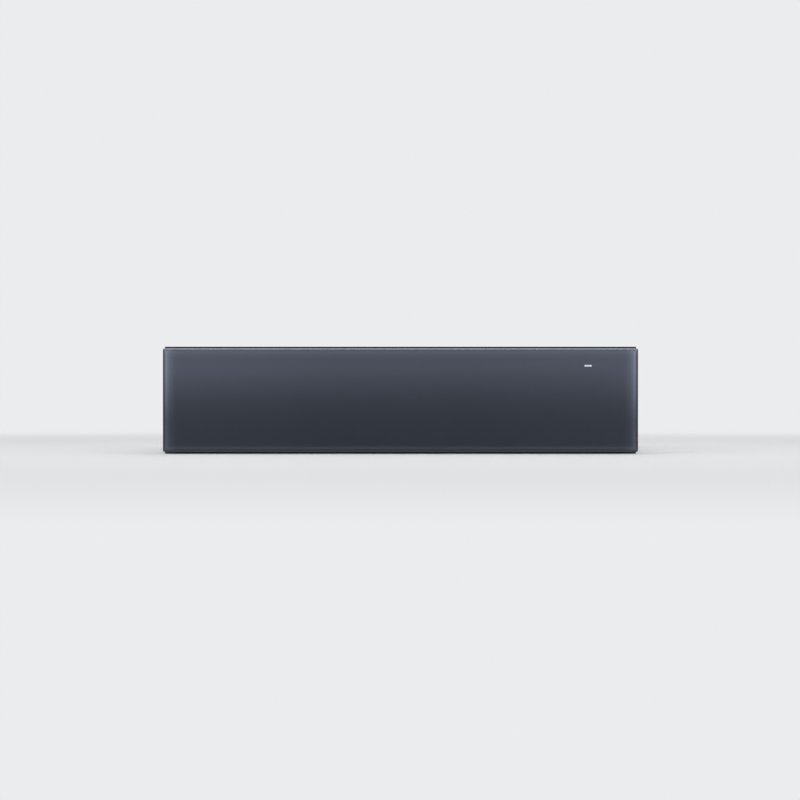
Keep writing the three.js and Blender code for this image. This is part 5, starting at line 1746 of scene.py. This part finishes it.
@dataclass
class Wiring(SubAssembly):
    """The terminals, the folded ribbon to the drawer, and the harness along its side.

    Fields: the distance of the terminals and the depth of their wells, and the harness's radius and its ties,
    of which the first lies a reach before the harness's middle and the last a reach short of its end.
    """

    terminal_pitch: float = 12.0 * MM
    well: float = 7.6 * MM
    harness_radius: float = 2.5 * MM
    ties: int = 4
    tie_reach: tuple[float, float] = (120.0 * MM, 40.0 * MM)

    def build(self) -> list[Object]:
        """Makes the wiring.

        Returns:
            The pieces.
        """
        return [
            *reform(0.3, "terminal_block"),
            self.terminal_screws(),
            self.ribbon(),
            tube("control_harness"),
            self.harness_ties(),
        ]

    def terminal_screws(self) -> Object:
        """The brass screws in the wells of the terminal block.

        Returns:
            The dressed piece.
        """
        extent, pitch = Extent.of("terminal_block"), self.terminal_pitch
        x, y, _ = extent.middle
        places = [(x + away, y, extent.high.z - self.well) for away in spread(3, -pitch, pitch)]
        heads = copies(PanScrew(2.6 * MM, 1.2 * MM, 1.5 * MM).make(), "terminal_screws", places)
        return dress(heads, "casing", Slot.grey_plastic, BRASS)

    def ribbon(self) -> Object:
        """The flat supply ribbon between the rear panel and the drawer, a rounded copy of the CAD one.

        Returns:
            The piece, with its material.
        """
        extent = Extent.of("supply_ribbon")
        piece = formed("supply_ribbon", 0.25)
        piece.data.materials.append(Slot.wire_sleeve.value.material())
        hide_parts("supply_ribbon")
        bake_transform(piece)
        return piece

    def harness_ties(self) -> Object:
        """The ties round the harness.

        Returns:
            The dressed piece.
        """
        extent, radius = Extent.of("control_harness"), self.harness_radius
        inner, outer, half = radius - 0.1 * MM, radius + 0.4 * MM, 1.2 * MM
        profile = [(inner, -half), (outer, -half), (outer, half), (inner, half)]
        tie = turn("tie", profile, sides=24, closed=True)
        x, z = extent.high.x - radius, extent.high.z - radius
        before, short = self.tie_reach
        places = [(x, y, z) for y in spread(self.ties, extent.middle.y - before, extent.high.y - short)]
        ties = copies(smooth(tie, 30), "harness_ties", places, Facing.BACK)
        return dress(ties, "drawer", Slot.black_plastic)


# Studio ------------------------------------------------------


@dataclass
class Studio:
    """The camera, the lamps, the pale floor and backdrop, and the card that the glass mirrors.

    Fields: the camera's lens in millimetres and its distance from the front in metres, how far it stands to
    one side, the strength of the even light, the backdrop and the floor, where the floor runs out into the
    backdrop, the lamps with their places, sizes and watts, and the card's distance, its middle's height and
    half its sides. The card's levels run by height over the line of sight, and by distance to either side of
    it, the latter times a share that falls below the line of sight.
    """

    lens: float = 135.0
    distance: float = 3.767
    offset: float = -0.6 * MM
    ambient: float = 0.5
    backdrop: Colour = (0.83, 0.84, 0.855)
    floor_tone: Colour = (0.80, 0.805, 0.815)
    floor_radius: float = 30.0
    floor_drop: float = 0.2 * MM
    floor_near: float = 0.8
    floor_far: float = 2.6
    lamps: tuple[tuple[str, Place, tuple[float, float], float], ...] = (
        ("overhead", (0.0, -0.3, 2.2), (2.0, 1.5), 14.0),
        ("strip", (0.0, -0.235, 2.15), (1.4, 0.14), 3.0),
        ("left", (-2.6, -2.2, 2.2), (2.6, 2.6), 26.0),
        ("right", (2.8, -1.6, 2.0), (2.6, 2.6), 18.0),
        ("behind", (0.4, 3.0, 2.2), (3.0, 2.2), 12.0),
    )
    card_distance: float = 6.0
    card_height: float = 0.2
    card_halves: tuple[float, float] = (3.8, 3.2)
    card_heights: Stops = (
        (-2.4, 0.30), (-1.9, 0.36), (-1.45, 0.75), (-0.87, 0.90), (-0.77, 0.60), (-0.63, 0.23), (-0.13, 0.20),
        (-0.06, 0.28), (0.0, 0.50), (0.03, 0.75), (0.07, 1.08), (0.11, 1.50), (0.34, 1.50), (0.60, 1.76),
        (0.80, 2.19), (1.60, 2.45), (2.10, 1.40),
    )
    card_sides: Stops = (
        (0.2, 0.0), (0.78, 0.37), (1.14, 1.2), (1.45, 3.0), (1.86, 4.5), (2.3, 2.8), (2.6, 1.4), (2.9, 0.4),
    )
    card_side_share: Stops = (
        (-0.15, 0.42), (-0.12, 0.40), (-0.08, 0.35), (0.0, 0.72), (0.05, 0.85), (0.13, 1.0),
    )

    def build(self) -> None:
        """Sets the studio up."""
        bpy.context.scene.view_settings.view_transform = "Standard"
        self.camera()
        self.world()
        for lamp in self.lamps:
            self.lamp(*lamp)
        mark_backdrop(self.floor(), self.card())

    def camera(self) -> None:
        """The camera, square on to the front at the photograph's viewing angle."""
        low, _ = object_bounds()
        data = bpy.data.cameras.new("camera")
        data.lens = self.lens
        data.sensor_width = 36.0
        data.clip_end = 60.0
        camera = bpy.data.objects.new("camera", data)
        camera.location = (self.offset, low[1] - self.distance, SIGHT_HEIGHT)
        camera.rotation_euler = (math.pi / 2, 0.0, 0.0)
        bpy.context.collection.objects.link(camera)
        bpy.context.scene.camera = camera

    def world(self) -> None:
        """Even light on the object, and the pale backdrop for the camera, for gloss and through glass."""
        world = bpy.data.worlds.new("studio")
        shader = Shader(world)
        shader.feed(shader.inputs["Strength"], self.ambient)
        shader.feed(shader.inputs["Color"], (1.0, 1.0, 1.0, 1.0))
        backdrop = shader.node("ShaderNodeBackground", {"Color": (*self.backdrop, 1.0)})
        shader.show(shader.surface, backdrop, shader.seen())
        bpy.context.scene.world = world

    def lamp(self, name: str, at: Place, size: tuple[float, float], power: float) -> None:
        """A soft box aimed at the appliance's middle.

        Args:
            name: Its name.
            at: Where it hangs.
            size: Its width and height.
            power: Its watts.
        """
        data = bpy.data.lights.new(name, "AREA")
        data.shape = "RECTANGLE"
        data.size, data.size_y = size
        data.energy = power
        lamp = bpy.data.objects.new(name, data)
        lamp.location = at
        aim = Vector((0.0, 0.0, SIGHT_HEIGHT)) - Vector(at)
        lamp.rotation_euler = aim.to_track_quat("-Z", "Y").to_euler()
        bpy.context.collection.objects.link(lamp)

    def floor(self) -> Object:
        """The pale floor, which runs out into the backdrop's own tone away from the appliance.

        Returns:
            The floor.
        """
        floor = blank("floor")
        with editing(floor):
            bpy.ops.mesh.primitive_circle_add(vertices=64, radius=self.floor_radius, fill_type="NGON")
            bpy.ops.transform.translate(value=(0.0, 0.0, -self.floor_drop))
        shader = Shader.new("floor")
        tones = shader.tones(shader.noise(1.5), tone(self.floor_tone, 0.99), self.floor_tone)
        shader.feed(shader.inputs["Base Color"], tones)
        shader.feed(shader.inputs["Roughness"], 0.9)
        shader.feed(shader.inputs["Specular IOR Level"], 0.1)
        reach = shader.node("ShaderNodeVectorMath", {0: shader.place()}, operation="LENGTH").outputs["Value"]
        away = shader.remap(reach, self.floor_near, self.floor_far, smooth=True)
        glow = shader.node("ShaderNodeEmission", {"Color": (*self.backdrop, 1.0)})
        shader.show(shader.surface, glow, shader.sum(away, shader.seen(), "MULTIPLY"))
        floor.data.materials.append(shader.owner)
        floor.visible_glossy = False
        return floor

    def card(self) -> Object:
        """A large graded card behind the camera, seen only in gloss: the glass mirrors it.

        Returns:
            The card.
        """
        card = blank("reflection_card")
        with editing(card):
            bpy.ops.mesh.primitive_plane_add(size=2.0)
            bpy.ops.transform.resize(value=(*self.card_halves, 1.0), center_override=(0.0, 0.0, 0.0))
        settle(card, (0.0, -self.card_distance, self.card_height), Facing.BACK)
        shader = Shader.new("reflection_card")
        height, share = shader.axis("Z", SIGHT_HEIGHT), shader.graph(shader.beside("X"), self.card_sides)
        sides = shader.sum(share, shader.graph(height, self.card_side_share), "MULTIPLY")
        strength = shader.sum(shader.graph(height, self.card_heights), sides)
        shader.show(shader.node("ShaderNodeEmission", {"Strength": strength}))
        card.data.materials.append(shader.owner)
        card.visible_camera = card.visible_diffuse = card.visible_shadow = False
        card.visible_transmission = card.visible_volume_scatter = False
        return card



def main() -> None:
    """Builds the sub-assemblies in order, dresses the CAD nodes that stay, and sets up the studio."""
    logging.basicConfig(level=logging.INFO, format="%(message)s", stream=sys.stdout)
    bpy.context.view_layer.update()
    for kind in (DrawerFront, Casing, Runners, DrawerBody, Controls, Heating, FanUnit, PushLatch, Wiring):
        pieces = kind().build()
        LOG.info("%s: %d pieces", kind.__name__, len(pieces))
    for node, piece in frame["nodes"].items():
        piece.data.materials.clear()
        piece.data.materials.append(SLOT_OF[node].value.material())
    Studio().build()


if __name__ == "__main__":
    main()
